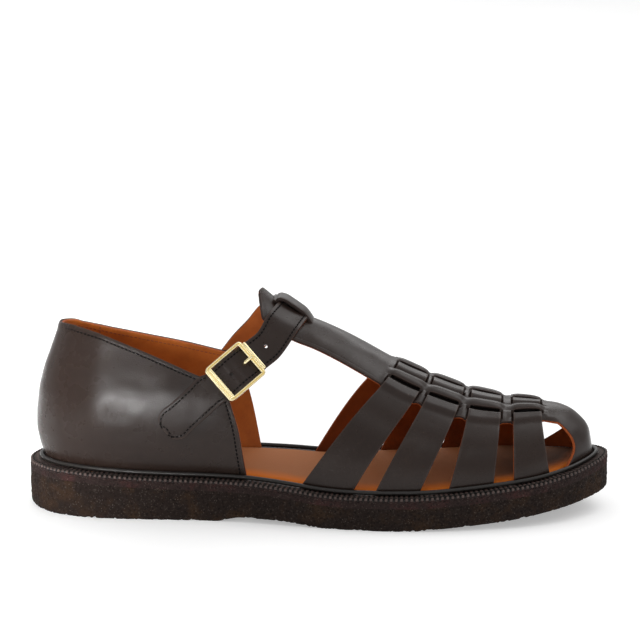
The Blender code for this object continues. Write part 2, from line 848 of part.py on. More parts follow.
def build_buckle_strap(root, parts, leather):
    """The short strap sewn on the lateral quarter and folded round the buckle's centre bar."""
    half = BUCKLE_STRAP_HALF_WIDTH
    lift = 2 * GAP + BUCKLE_STRAP_THICKNESS / 2
    rows = []
    for distance, width in BUCKLE_STRAP_END:
        centre = BUCKLE_STRAP_START + distance * BUCKLE_STRAP_RUN
        places = [centre + across * BUCKLE_STRAP_ACROSS for across in spread(width)]
        rows.append([quarter_at(LATERAL, place.x, place.y, lift) for place in places])
    turn = CENTRE_BAR_RADIUS + GAP + BUCKLE_STRAP_THICKNESS / 2
    for along, out in FREE_PASS:
        rows.append([in_buckle(along, across, out) for across in spread(half)])
    fold = []
    for degrees in range(90, -91, -30):
        angle = math.radians(degrees)
        fold.append((turn * math.cos(angle), CENTRE_BAR_DEPTH + turn * math.sin(angle)))
    fold.append((-3.0, CENTRE_BAR_DEPTH - turn))
    turned = [[in_buckle(along, across, out) for across in spread(half)] for along, out in fold]
    bm, _ = sheet(smooth_rows(rows + turned[:1], 20) + turned[1:])
    strap = finish(bm, "buckle_strap", leather, root, parts)
    wall(strap, BUCKLE_STRAP_THICKNESS, 0.0)
    return strap


def build_loop(root, parts, leather):
    """The keeper on the T-bar that the instep strap passes under."""
    rows = []
    for x, lift in LOOP_PASS:
        rows.append([on_t_bar(x, round_run, lift) for round_run in (-8.0, -4.0, 1.0, 6.0, 10.0)])
    bm, _ = sheet(rows)
    face_away(bm, Vector((138, 5, 60)))
    loop = finish(bm, "strap_loop", leather, root, parts)
    wall(loop, LOOP_THICKNESS, 1.0)
    return loop


def build_upper(root, parts):
    """Quarter, vamp, straps and loop."""
    leather = material("upper_leather", (0.050, 0.032, 0.026), 0.42)
    build_quarter(root, parts, leather)
    build_vamp(root, parts, leather)
    build_instep_strap(root, parts, leather)
    build_buckle_strap(root, parts, leather)
    build_loop(root, parts, leather)


# ---------------------------------------------------------------- the buckle


def rounded_rectangle(half_x, half_y, radius, steps=3):
    """Points round a rectangle with round corners, each with its outward direction."""
    path = []
    for quarter_turn, (sx, sy) in enumerate(((1, 1), (-1, 1), (-1, -1), (1, -1))):
        for i in range(steps + 1):
            angle = math.pi / 2 * (quarter_turn + i / steps)
            outward = Vector((math.cos(angle), math.sin(angle)))
            corner = Vector((sx * (half_x - radius), sy * (half_y - radius)))
            path.append((corner + radius * outward, outward))
    return path


def box(name, low, high, seat, tools):
    """A hidden box, from its lowest to its highest corner in the seat's frame, that cuts a slot."""
    bm = bmesh.new()
    bmesh.ops.create_cube(bm, size=1.0)
    size = Vector(high) - Vector(low)
    bmesh.ops.scale(bm, vec=size, verts=bm.verts)
    bmesh.ops.translate(bm, vec=Vector(low) + size / 2, verts=bm.verts)
    return finish(bm, name, bpy.data.materials["brass"], seat, tools)


def build_buckle(root, parts, tools):
    """The square brass frame with its centre bar, and the prong. The seat's axes run across, along, out."""
    brass = material("brass", (0.80, 0.62, 0.30), 0.28, 1.0)
    seat = bpy.data.objects.new("buckle_seat", None)
    parts.objects.link(seat)
    seat.parent = root
    turn = Matrix((BUCKLE_ACROSS, BUCKLE_ALONG, BUCKLE_OUT)).transposed().to_4x4()
    seat.matrix_local = Matrix.Translation(BUCKLE_CENTRE * MM) @ turn

    rows = []
    for place, outward in rounded_rectangle(FRAME_HALF_WIDTH, FRAME_HALF_LENGTH, FRAME_CORNER):
        share = ROLLER_SHARE if place.y > FRAME_HALF_LENGTH - 0.1 else 1.0
        rows.append([Vector((*(place + share * a * outward), up)) for a, up in FRAME_SECTION])
    bm, _ = sheet(rows + rows[:1], closed=True)
    bmesh.ops.remove_doubles(bm, verts=bm.verts, dist=1e-4)
    bmesh.ops.recalc_face_normals(bm, faces=bm.faces)
    frame = finish(bm, "buckle_frame", brass, seat, parts)
    reach, depth = FRAME_HALF_WIDTH, CENTRE_BAR_DEPTH
    bend = 0.6
    side = [(reach, 0.0, -0.4), (reach, 0.0, depth + bend), (reach - bend, 0.0, depth)]
    bar_line = side + [(-x, y, z) for x, y, z in reversed(side)]
    bar = as_mesh(tube("centre_bar", bar_line, CENTRE_BAR_RADIUS, brass, seat, tools))
    combine(frame, bar, "UNION", tools)

    ring_radius = CENTRE_BAR_RADIUS + GAP + PRONG_RADIUS
    prong_line = []
    for degrees in range(390, 89, -30):
        angle = math.radians(degrees)
        prong_line.append((
            PRONG_ACROSS,
            ring_radius * math.cos(angle),
            CENTRE_BAR_DEPTH + ring_radius * math.sin(angle),
        ))
    prong_line += [(PRONG_ACROSS, along, out) for along, out in PRONG_PASS]
    prong = as_mesh(tube("prong", prong_line, PRONG_RADIUS, brass, seat, parts))
    prong.name = "buckle_prong"

    room = PRONG_RADIUS + GAP + 0.1
    low, high = PRONG_ACROSS - room, PRONG_ACROSS + room
    strap_slot = box("strap_slot", (low, 4.2, -5.0), (high, 8.4, 3.0), seat, tools)
    combine(bpy.data.objects["instep_strap"], strap_slot, "DIFFERENCE", tools)
    fold_slot = box("fold_slot", (low, -2.7, -8.0), (high, 3.4, -1.2), seat, tools)
    combine(bpy.data.objects["buckle_strap"], fold_slot, "DIFFERENCE", tools)


def main():
    """Clears the scene and builds the sandal."""
    for old in list(bpy.data.objects):
        bpy.data.objects.remove(old, do_unlink=True)
    parts = bpy.data.collections.new("fisherman_sandal")
    tools = bpy.data.collections.new("fisherman_sandal_tools")
    for holder in (parts, tools):
        bpy.context.scene.collection.children.link(holder)
    root = bpy.data.objects.new("sandal_frame", None)
    parts.objects.link(root)
    footprint = ring(0.0, TREAD)
    middle = (min(p.y for p in footprint) + max(p.y for p in footprint)) / 2
    root.location = (-SOLE_LENGTH / 2 * MM, -middle * MM, 0.0)
    build_sole(root, parts)
    build_upper(root, parts)
    build_buckle(root, parts, tools)


if __name__ == "__main__":
    main()
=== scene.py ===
"""Looks of a fisherman sandal for the right foot: leathers, stitching, welt, crepe sole and brass buckle.

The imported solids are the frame. Each sub-assembly below is a class that lays its leather or rubber in the
shoe's own millimetres (x from the heel's back edge to the toe, y medial positive, z above the floor), and
every finished mesh is then put into the frame's metres.
"""

import logging
import math
from collections.abc import Callable, Iterator, Sequence
from contextlib import contextmanager
from dataclasses import dataclass
from enum import Enum, IntEnum

import bmesh
import bpy
import numpy as np
from mathutils import Matrix, Vector, kdtree, noise


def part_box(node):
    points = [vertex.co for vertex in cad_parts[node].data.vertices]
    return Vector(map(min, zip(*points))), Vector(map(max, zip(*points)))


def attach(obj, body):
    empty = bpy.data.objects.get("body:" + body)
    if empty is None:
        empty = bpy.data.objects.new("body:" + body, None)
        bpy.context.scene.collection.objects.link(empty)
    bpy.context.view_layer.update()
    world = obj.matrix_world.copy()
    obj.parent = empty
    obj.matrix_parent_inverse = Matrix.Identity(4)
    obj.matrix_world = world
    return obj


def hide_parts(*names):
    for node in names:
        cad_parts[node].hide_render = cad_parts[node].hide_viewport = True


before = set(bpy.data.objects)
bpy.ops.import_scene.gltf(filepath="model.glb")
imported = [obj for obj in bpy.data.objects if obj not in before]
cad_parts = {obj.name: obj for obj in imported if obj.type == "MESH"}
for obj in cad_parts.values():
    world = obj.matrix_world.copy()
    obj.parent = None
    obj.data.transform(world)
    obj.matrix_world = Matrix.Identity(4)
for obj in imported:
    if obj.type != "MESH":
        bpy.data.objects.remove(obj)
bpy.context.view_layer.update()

log = logging.getLogger("sandal")
MM = 0.001
CREASE = 50.0  # the angle, in degrees, past which an edge is sharp
Table = tuple[tuple[float, ...], ...]
Pair = tuple[float, float]
Triple = tuple[float, float, float]
Points = np.ndarray
Numbers = float | Points
Height = Callable[[Points], Points]
Piece = bpy.types.Object
Socket = bpy.types.NodeSocket
Values = dict[str | int, object]


class Side(IntEnum):
    """The two sides of a right shoe, by the sign of y."""

    LATERAL = -1
    MEDIAL = 1


class Zone(Enum):
    """The strips across the woven middle of the vamp."""

    MARGIN = "margin"
    RIDGE = "ridge"
    CENTRE = "centre"


# ---- the shoe's own sizes, in millimetres

# The edge of the sole seen from above: half widths to each side of the middle line.
OUTLINE: Table = (
    # x, lateral, medial
    (0, 0, 0),
    (5, 16.2, 15.6),
    (20, 30.0, 28.6),
    (40, 35.7, 33.6),
    (65, 37.2, 35.0),
    (90, 37.6, 35.2),
    (112, 40.6, 36.0),
    (139, 46.2, 39.0),
    (169, 51.6, 45.6),
    (190, 53.5, 49.2),
    (206, 53.2, 50.6),
    (230, 49.8, 49.8),
    (254, 43.9, 45.4),
    (279, 31.2, 33.4),
    (293, 17.0, 18.8),
    (300, 0, 0),
)

# The sole seen from the side: its tread and the top of the welt.
SOLE_LINE: Table = (
    # x, tread, welt
    (0, 1.4, 23.4),
    (4, 0.3, 23.6),
    (9, 0, 23.8),
    (20, 0, 23.9),
    (40, 0, 23.1),
    (60, 0, 22.1),
    (98, 0, 21.2),
    (112, 2.6, 21.1),
    (127, 2.5, 20.3),
    (139, 1.8, 19.2),
    (149, 0.5, 18.0),
    (155, 0, 17.5),
    (168, 0, 17.0),
    (198, 0, 17.3),
    (206, 0.6, 17.6),
    (219, 1.6, 18.4),
    (244, 3.7, 20.5),
    (264, 6.1, 22.4),
    (285, 9.3, 26.0),
    (300, 11.6, 29.6),
)

# The ridge of the last over the instep and the forefoot.
RIDGE: Table = (
    # x, y, height
    (119.5, 7.5, 114.6),
    (122, 7.5, 112.0),
    (126, 7.4, 108.7),
    (130, 7.3, 105.6),
    (136, 7.1, 101.6),
    (142, 6.9, 98.6),
    (149, 6.6, 96.3),
    (161, 6.0, 91.2),
    (173, 5.2, 85.2),
    (186, 4.4, 77.9),
    (198, 3.8, 71.6),
    (211, 3.2, 66.2),
    (223, 2.8, 61.8),
    (236, 2.2, 58.4),
    (250, 1.8, 56.0),
    (262, 1.6, 54.8),
    (273, 1.4, 53.7),
    (280, 1.3, 51.4),
    (286, 1.2, 47.0),
    (290, 1.1, 41.4),
    (292.4, 1.0, 28.2),
)

# The T-bar: its centre line, measured round the last from the ridge, and its half width.
T_BAR: Table = (
    # x, centre, half width
    (119.5, -9.0, 11.5),
    (126, -10.0, 13.0),
    (150, -10.5, 14.5),
    (168, -9.5, 17.5),
    (186, -7.5, 21.5),
    (205, -6.0, 24.5),
    (225, -5.0, 24.5),
    (245, -3.5, 22.0),
    (266, -1.0, 16.5),
    (293, 0.0, 12.0),
)

# Lines across the last: where each stands on the welt on both sides and crosses the ridge.
CROSSINGS: Table = (
    # ridge, lateral welt, medial welt, lateral bow, medial bow
    (120.2, 134.2, 134.2, 0, 0),
    (122.4, 118.4, 118.4, 0, 0),
    (125.4, 106.4, 106.4, 0, 0),
    (130.0, 100.0, 100.0, 0, 0),
    (138.0, 101.0, 101.0, 0, 0),
    (147.0, 105.0, 105.0, 0, 0),
    (158.0, 113.0, 113.0, 0, 0),
    (170.0, 123.5, 123.5, 0, 0),
    (181.0, 133.5, 133.5, 0, 0),
    (191.5, 142.6, 147.0, 0, 0),
    (206.4, 169.1, 171.5, 0, 0),
    (209.7, 180.5, 181.4, 0, 0),
    (225.2, 203.1, 203.4, 0, 0),
    (229.2, 218.1, 213.8, 0, 0),
    (244.6, 240.8, 234.8, 0, 0),
    (250.6, 251.5, 241.4, 0, 0),
    (264.6, 269.6, 261.4, 0, 0),
    (267.2, 277.6, 261.8, 10.2, 15.5),
    (273.4, 281.8, 272.0, 8.2, 10.2),
    (279.2, 286.0, 280.0, 5.0, 6.0),
    (284.6, 289.0, 285.8, 2.6, 3.0),
    (289.0, 291.0, 289.6, 1.0, 1.0),
    (291.6, 292.1, 291.8, 0, 0),
    (292.4, 292.4, 292.4, 0, 0),
)

# The cross straps: their back and front edges on the ridge.
CROSS_STRAPS: Table = (
    # back, front
    (191.5, 206.4),
    (209.7, 225.2),
    (229.2, 244.6),
    (250.6, 264.6),
)

# The heel quarter's shape: how far it swells beyond its seat at each height above the welt.
QUARTER_SWELL: Table = (
    # height, at the back, at the sides
    (0, -0.4, -0.4),
    (3, 0.5, 0.3),
    (6.5, 1.7, 1.2),
    (11, 2.8, 2.2),
    (17, 3.7, 3.0),
    (24, 3.6, 3.2),
    (30, 3.0, 2.8),
    (37, 2.2, 1.8),
    (43, 0.8, 0.4),
    (50, -1.2, -1.8),
    (56, -3.4, -3.8),
    (62, -5.6, -5.8),
    (68, -7.8, -7.8),
    (73, -10.4, -9.8),
)

# Soft troughs and ridges worn into the leather: place, lean, half length, half width and depth.
QUARTER_DENTS: Table = (
    # x, y, z, lean, half length, half width, depth
    (66.0, -37.0, 62.0, 82, 18.0, 5.5, 0.16),
    (34.0, -34.0, 36.0, 20, 11.0, 3.2, 0.14),
    (84.0, -36.0, 44.0, 96, 12.0, 5.0, 0.3),
    (99.0, -37.0, 34.0, 100, 9.0, 2.2, 0.25),
    (8.0, -20.0, 62.0, 88, 16.0, 3.6, -0.3),
    (50.0, 36.0, 60.0, 84, 15.0, 4.2, 0.3),
    (86.0, 34.0, 48.0, 98, 12.0, 4.0, 0.3),
    (17.0, 0.0, 94.6, 90, 2.0, 9.0, -0.8),
)
STRAP_DENTS: dict[int, Table] = {
    1: ((166.0, -49.0, 36.0, 48, 10.0, 3.2, 0.35), (152.0, -46.0, 30.0, 52, 8.0, 2.0, -0.2)),
    2: ((209.4, -34.0, 52.0, 60, 0.7, 0.7, 0.35), (200.0, -44.0, 40.0, 56, 9.0, 2.8, 0.3)),
    3: ((228.0, -40.0, 42.0, 70, 8.0, 2.6, 0.3),),
    4: ((256.0, -32.0, 42.0, 84, 8.0, 2.4, 0.28),),
}
BAR_DENTS: Table = (
    # x, y, z, lean, half length, half width, depth
    (158.0, -4.0, 89.0, -28, 9.0, 3.2, 0.35),
    (176.0, 2.0, 82.0, -30, 8.0, 2.6, 0.3),
    (284.0, -12.0, 38.0, -60, 7.0, 3.0, 0.3),
    (274.0, 6.0, 52.0, -20, 9.0, 3.0, -0.25),
)

# The quarter's top edge, by the place on the sole's edge that it stands over.
TOP_LINE: Table = (
    # x, lateral height, medial height
    (0, 95.8, 95.8),
    (14, 96.6, 94.2),
    (38, 94.2, 89.8),
    (64, 87.3, 85.0),
    (90, 78.4, 80.2),
    (113, 69.0, 74.6),
)

# The quarter's front edges, leaning back as they rise.
FRONT_EDGE: Table = (
    # height, lateral x, medial x
    (20, 113.6, 118.4),
    (44, 110.7, 114.0),
    (62, 105.1, 109.4),
    (76, 99.6, 104.6),
)

# The instep strap's middle layer through the buckle, along it and out from its centre plane.
BUCKLE_PASS: Table = (
    # along, out, half width
    (-11.9, -2.4, 8.5),
    (-9.0, -2.35, 8.9),
    (-6.0, -1.45, 8.95),
    (-3.0, -0.3, 8.95),
    (0.0, 0.1, 8.95),
    (3.0, -0.3, 8.95),
    (6.0, -1.45, 8.95),
    (9.0, -2.5, 8.9),
    (13.0, -2.8, 8.6),
    (22.0, -4.7, 8.5),
)

# Over the instep: the strap's middle on the ridge line, the distance round the last and the rise above it.
INSTEP_PASS: Table = (
    # x, round, rise
    (136.2, -20.5, 2.0),
    (136.8, -14.0, 1.7),
    (137.6, -7.0, 1.6),
    (138.0, 0.0, 1.6),
    (137.8, 6.0, 1.6),
    (137.0, 12.0, 1.6),
)

# Down the medial side: the strap's middle.
MEDIAL_PASS: Table = (
    # x, z
    (125.6, 94.6),
    (117.9, 85.6),
    (110.6, 77.4),
    (103.0, 67.0),
    (96.3, 58.2),
)

# The keeper's underside, from behind the strap to before it: the place on the ridge and the rise above it.
KEEPER_PASS: Table = (
    # x, rise
    (127.2, -1.4),
    (128.6, -0.8),
    (129.7, 1.2),
    (130.6, 3.0),
    (132.4, 3.9),
    (137.0, 4.1),
    (140.4, 3.5),
    (142.8, 2.7),
    (144.3, 1.4),
    (145.6, -0.1),
    (146.6, -1.5),
)

# The buckle strap's half width from its sewn end, and its middle layer from the quarter to the centre bar.
BUCKLE_STRAP_END: Table = (
    # distance, half width
    (0.0, 3.6),
    (0.7, 5.6),
    (2.0, 7.2),
    (4.2, 8.5),
    (12.0, 8.5),
    (22.0, 8.5),
    (32.5, 8.5),
)
FREE_PASS: Table = (
    # along, out
    (-10.3, -4.45),
    (-6.0, -3.7),
    (-3.0, -2.65),
)


# ---- curves and the last


class Profile:
    """A smooth curve through the rows of a table that doesn't overshoot between them."""

    def __init__(self, table: Sequence[Sequence[float]], column: int) -> None:
        """Fits the curve to one column over the first.

        Args:
            table: rows of numbers, with rising first numbers.
            column: which number of each row the curve gives.
        """
        self.x = np.array([row[0] for row in table], float)
        self.y = np.array([row[column] for row in table], float)
        steps = np.diff(self.x)
        slopes = np.diff(self.y) / steps
        before, after = slopes[:-1], slopes[1:]
        heavy, light = 2 * steps[1:] + steps[:-1], steps[1:] + 2 * steps[:-1]
        with np.errstate(divide="ignore", invalid="ignore"):
            inner = (heavy + light) / (heavy / before + light / after)
        inner = np.where(before * after > 0, inner, 0.0)
        self.slope = np.concatenate([slopes[:1], inner, slopes[-1:]])

    def __call__(self, x: Numbers) -> Points:
        """The curve's value at one place or at many."""
        x = np.clip(x, self.x[0], self.x[-1])
        i = np.clip(np.searchsorted(self.x, x, side="right") - 1, 0, len(self.x) - 2)
        step = self.x[i + 1] - self.x[i]
        t = (x - self.x[i]) / step
        start = (1 + 2 * t) * (1 - t) ** 2 * self.y[i] + t * (1 - t) ** 2 * step * self.slope[i]
        return start + t * t * (3 - 2 * t) * self.y[i + 1] + t * t * (t - 1) * step * self.slope[i + 1]


def smoothstep(low: float, high: float, value: Numbers) -> Points:
    """Rises smoothly from 0 at low to 1 at high."""
    t = np.clip((value - low) / (high - low), 0.0, 1.0)
    return t * t * (3 - 2 * t)


def run_along(line: Points) -> Points:
    """The distance from a line's start to each of its points."""
    return np.concatenate([[0.0], np.cumsum(np.linalg.norm(np.diff(line, axis=0), axis=1))])


def at_run(distance: Numbers, run: Points, line: Points) -> Points:
    """What a line's columns hold at distances along it, with run the distance of each of its points."""
    return np.stack([np.interp(distance, run, column) for column in line.T], axis=-1)


def closed_loop(ring: Points) -> Points:
    """A loop of points with its first one again at its end."""
    return np.vstack([ring, ring[:1]])


class Last:
    """The form that the sandal is built on, and the outline of its sole."""

    SAMPLES = 720
    LENGTH = 300.0
    SEAT_INSET = 7.6  # from the sole's edge in to the outside of the upper
    GAP = 0.3
    SIDE_SWELL = 2.2  # how far the last stands out beyond an ellipse halfway up its side
    FULL_SWELL = 30.0  # the half width from which it swells in full

    def __init__(self) -> None:
        """Samples the outline and its outward directions on both sides."""
        self.angles = np.linspace(0.0, math.pi, self.SAMPLES + 1)
        by_angle = [(float(self.angle_at(x)), lateral, medial) for x, lateral, medial in OUTLINE]
        self.edge: dict[Side, tuple[Points, Points]] = {}
        for side, column in ((Side.LATERAL, 1), (Side.MEDIAL, 2)):
            across = side * Profile(by_angle, column)(self.angles)
            line = np.stack([self.LENGTH / 2 * (1 - np.cos(self.angles)), across], axis=-1)
            tangent = np.gradient(line, axis=0)
            tangent[0], tangent[-1] = (0.0, side), (0.0, -side)
            outward = side * np.stack([-tangent[:, 1], tangent[:, 0]], axis=-1)
            self.edge[side] = line, outward / np.linalg.norm(outward, axis=1, keepdims=True)
        self.tread = Profile(SOLE_LINE, 1)
        self.welt_top = Profile(SOLE_LINE, 2)
        self.ridge_y = Profile(RIDGE, 1)
        self.ridge_z = Profile(RIDGE, 2)
        self.foot = {Side.LATERAL: Profile(CROSSINGS, 1), Side.MEDIAL: Profile(CROSSINGS, 2)}
        self.bow = {Side.LATERAL: Profile(CROSSINGS, 3), Side.MEDIAL: Profile(CROSSINGS, 4)}

    def angle_at(self, x: Numbers) -> Points:
        """Places along the sole as angles, so that the outline's ends come out round."""
        return np.arccos(np.clip(1 - 2 * np.asarray(x) / self.LENGTH, -1.0, 1.0))

    def edge_point(self, side: Side, angle: Points, inset: Numbers = 0.0) -> tuple[Points, Points]:
        """A place on the outline seen from above.

        Args:
            side: which side of the shoe.
            angle: the place along it, 0 at the heel to pi at the toe.
            inset: how far the place lies in from the edge.

        Returns:
            The point and the outward direction there, each with x and y last.
        """
        line, outward = self.edge[side]
        direction = at_run(angle, self.angles, outward)
        return at_run(angle, self.angles, line) - np.expand_dims(inset, -1) * direction, direction

    def edge_y(self, side: Side, x: Numbers, inset: float) -> Points:
        """The y of the outline, moved in by inset, at x."""
        line, outward = self.edge[side]
        moved = line - inset * outward
        return np.interp(x, moved[:, 0], moved[:, 1])

    def ring(self, inset: float, height: Height, stations: int, wave: Numbers = 0.0) -> Points:
        """The outline as a closed loop of points, lateral side forward and medial side back.

        Args:
            inset: how far in from the sole's edge.
            height: gives z from x.
            stations: how many steps each side has.
            wave: how far each point of the loop is moved outward.

        Returns:
            The loop's points, twice stations in all.
        """
        out = np.linspace(0.0, math.pi, stations + 1)
        lateral, lateral_out = self.edge_point(Side.LATERAL, out, inset)
        medial, medial_out = self.edge_point(Side.MEDIAL, out[-2:0:-1], inset)
        flat = np.concatenate([lateral, medial])
        moved = np.expand_dims(np.broadcast_to(wave, len(flat)), -1)
        flat = flat + moved * np.concatenate([lateral_out, medial_out])
        return np.column_stack([flat, height(flat[:, 0])])

    def point(self, x: Points, side: Side, rise: Points, lift: float) -> Points:
        """Places points on the upper's outside.

        Args:
            x: where along the shoe.
            side: lateral or medial.
            rise: 0 at the welt to 1 at the ridge.
            lift: how far clear of the last.

        Returns:
            The points.
        """
        angle = rise * math.pi / 2
        foot = self.edge_y(side, x, self.SEAT_INSET - lift)
        floor = self.welt_top(x) + self.GAP
        top = self.ridge_z(x) + lift
        ridge_y = self.ridge_y(x)
        share = np.minimum(1.0, np.abs(foot - ridge_y) / self.FULL_SWELL)
        swell = side * self.SIDE_SWELL * np.sin(math.pi * rise) * share
        across = ridge_y + (foot - ridge_y + swell) * np.cos(angle)
        return np.stack([x, across, floor + np.maximum(top - floor, 0.0) * np.sin(angle)], axis=-1)


class Section:
    """One line across the last, from the lateral welt over the ridge to the medial welt."""

    SAMPLES = 160
    BOW_TOP = 0.72  # how far up the last, as a share of its turn, the toe cap's lines bow forward
    BOW_POWER = 0.85  # less than 1, so that the bow is fuller than a sine

    def __init__(self, last: Last, ridge: float, lift: float = 0.0, lean: float | None = None) -> None:
        """Samples the line.

        Args:
            last: the form that it lies on.
            ridge: the x at which it crosses the ridge.
            lift: how far it is lifted clear.
            lean: how far back of the ridge it meets the welt, where it isn't one of the upper's own lines.
        """
        rise = np.linspace(0.0, 1.0, self.SAMPLES + 1)
        forward = np.sin(rise * math.pi / 2)
        bulge = np.sin(math.pi * np.minimum(rise / self.BOW_TOP, 1.0)).clip(0.0) ** self.BOW_POWER
        halves = []
        for side in (Side.LATERAL, Side.MEDIAL):
            foot = ridge - lean if lean is not None else float(last.foot[side](ridge))
            bow = 0.0 if lean is not None else float(last.bow[side](ridge))
            x = np.minimum(foot + (ridge - foot) * forward + bow * bulge, RIDGE[-1][0])
            halves.append(last.point(x, side, rise, lift))
        self.points = np.vstack([halves[0], halves[1][-2::-1]])
        self.run = run_along(self.points)
        self.ridge_run = float(self.run[self.SAMPLES])

    def at(self, run: Numbers) -> Points:
        """The points at distances along the line."""
        return at_run(run, self.run, self.points)


LAST = Last()


def into_frame(points: Points) -> Points:
    """Points in the shoe's millimetres as points in the frame's metres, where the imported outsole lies."""
    low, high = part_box("outsole")
    sides = np.concatenate([line[:, 1] for line, _ in LAST.edge.values()])
    middle = (sides.min() + sides.max()) / 2
    shift = np.array([low.x / MM, (low.y + high.y) / 2 / MM - middle, 0.0])
    return (np.asarray(points, float) + shift) * MM


# ---- modelling with Blender's operators


def deselect() -> None:
    """Leaves nothing selected, so that an operator acts on the new piece alone."""
    bpy.ops.object.select_all(action="DESELECT")


def activate(piece: Piece) -> None:
    """Makes a piece the only selected and active one."""
    deselect()
    piece.select_set(True)
    bpy.context.view_layer.objects.active = piece


@contextmanager
def editing(piece: Piece, mode: str = "FACE") -> Iterator[None]:
    """Edit mode on one piece, with nothing selected to begin with."""
    activate(piece)
    bpy.ops.object.mode_set(mode="EDIT")
    bpy.ops.mesh.select_mode(type=mode)
    bpy.ops.mesh.select_all(action="DESELECT")
    yield
    bpy.ops.object.mode_set(mode="OBJECT")


def apply(piece: Piece, kind: str, **settings: object) -> None:
    """Adds a modifier with these settings and applies it."""
    activate(piece)
    modifier = piece.modifiers.new(kind.title(), kind)
    for name, value in settings.items():
        setattr(modifier, name, value)
    bpy.ops.object.modifier_apply(modifier=modifier.name)


def grid(name: str, points: Points, closed: bool = False, inside: Triple | None = None) -> Piece:
    """A primitive grid whose corners are laid on given points.

    Args:
        name: the piece's name.
        points: rows of points in the shoe's millimetres.
        closed: whether rows or columns end where they begin, so that the seam is merged.
        inside: a point, in the shoe's millimetres, that the faces look away from.

    Returns:
        The new piece, in the frame's metres.
    """
    deselect()
    rows, columns = points.shape[:2]
    bpy.ops.mesh.primitive_grid_add(x_subdivisions=columns - 1, y_subdivisions=rows - 1, size=1.0)
    piece = bpy.context.active_object
    piece.name = piece.data.name = name
    piece.data.vertices.foreach_set("co", into_frame(points).reshape(-1))
    piece.data.update()
    if inside is not None:
        start = Vector(into_frame(inside))
        away = sum(p.area * p.normal.dot(p.center - start) for p in piece.data.polygons)
        if away < 0:
            piece.data.flip_normals()
    if closed:
        merge(piece)
    return piece


def merge(piece: Piece, distance: float = 0.01) -> None:
    """Merges points that lie together and turns the faces outward.

    Args:
        piece: the piece.
        distance: how near points are, in millimetres.
    """
    with editing(piece, "VERT"):
        bpy.ops.mesh.select_all(action="SELECT")
        bpy.ops.mesh.remove_doubles(threshold=distance * MM)
        bpy.ops.mesh.normals_make_consistent(inside=False)


def join(name: str, pieces: Sequence[Piece]) -> Piece:
    """Joins pieces, with their shared corners merged.

    Args:
        name: the joined piece's name.
        pieces: what it is made of.

    Returns:
        The joined piece.
    """
    deselect()
    for piece in pieces:
        piece.select_set(True)
    bpy.context.view_layer.objects.active = pieces[0]
    bpy.ops.object.join()
    pieces[0].name = pieces[0].data.name = name
    return pieces[0]


def keep_number(piece: Piece, name: str, values: Points) -> None:
    """Keeps one number for each point of a mesh, for its material to read."""
    attribute = piece.data.attributes.new(name, "FLOAT", "POINT")
    attribute.data.foreach_set("value", np.asarray(values, np.float32).reshape(-1))


def keep_numbers(piece: Piece, **numbers: Numbers) -> None:
    """Keeps each point's distance from a sheet's open edge, and numbers of its own or shared by all."""
    keep_number(piece, "from_edge", distance_from_edge(piece))
    for name, values in numbers.items():
        shared = np.isscalar(values)
        keep_number(piece, name, np.full(len(piece.data.vertices), values) if shared else values)


def vertex_places(piece: Piece) -> Points:
    """The places of a mesh's points, in metres."""
    places = np.empty(len(piece.data.vertices) * 3, np.float32)
    piece.data.vertices.foreach_get("co", places)
    return places.reshape(-1, 3)


def border_edges(piece: Piece) -> list[tuple[int, int]]:
    """The open edges of a sheet, each as its two points' numbers."""
    mesh = piece.data
    uses = np.zeros(len(mesh.edges), int)
    for polygon in mesh.polygons:
        for loop in polygon.loop_indices:
            uses[mesh.loops[loop].edge_index] += 1
    return [tuple(mesh.edges[index].vertices) for index in np.flatnonzero(uses == 1)]


def search_tree(places: Points) -> kdtree.KDTree:
    """A tree that finds the nearest of some places."""
    tree = kdtree.KDTree(len(places))
    for index, place in enumerate(places):
        tree.insert(place, index)
    tree.balance()
    return tree


def distance_from_edge(piece: Piece) -> Points:
    """How far each point of an open sheet lies from its nearest open edge, in millimetres."""
    places = vertex_places(piece)
    first, second = places[np.array(border_edges(piece)).T]
    tree = search_tree(np.concatenate([first, (first + second) / 2]))
    return np.array([tree.find(place)[2] / MM for place in places])


def ease_border(piece: Piece, corner: Points, reach: float, rounds: int = 70) -> None:
    """Rounds a corner of a sheet's open border by letting its points settle between their neighbours.

    Args:
        piece: the sheet.
        corner: the corner, in the shoe's millimetres.
        reach: how far along the border it is rounded, in millimetres.
        rounds: how many times the points settle.
    """
    beside: dict[int, list[int]] = {}
    for first, second in border_edges(piece):
        beside.setdefault(first, []).append(second)
        beside.setdefault(second, []).append(first)
    places = {index: np.array(piece.data.vertices[index].co) for index in beside}
    middle = into_frame(corner)
    share = {}
    for index, place in places.items():
        near = float(smoothstep(reach, 0.6 * reach, np.linalg.norm(place - middle) / MM))
        if near > 0 and len(beside[index]) == 2:
            share[index] = 0.5 * near
    for _ in range(rounds):
        middles = {index: sum(places[other] for other in beside[index]) / 2 for index in share}
        places.update({i: places[i] + share[i] * (middles[i] - places[i]) for i in share})
    for index in share:
        piece.data.vertices[index].co = places[index]
    piece.data.update()


def raise_by(piece: Piece, relief: Points) -> None:
    """Moves a mesh's points out along their normals by a relief in millimetres."""
    places = vertex_places(piece)
    normals = np.empty(places.size, np.float32)
    piece.data.vertex_normals.foreach_get("vector", normals)
    places = places + normals.reshape(-1, 3) * (relief.reshape(-1, 1) * MM)
    piece.data.vertices.foreach_set("co", places.reshape(-1))
    piece.data.update()


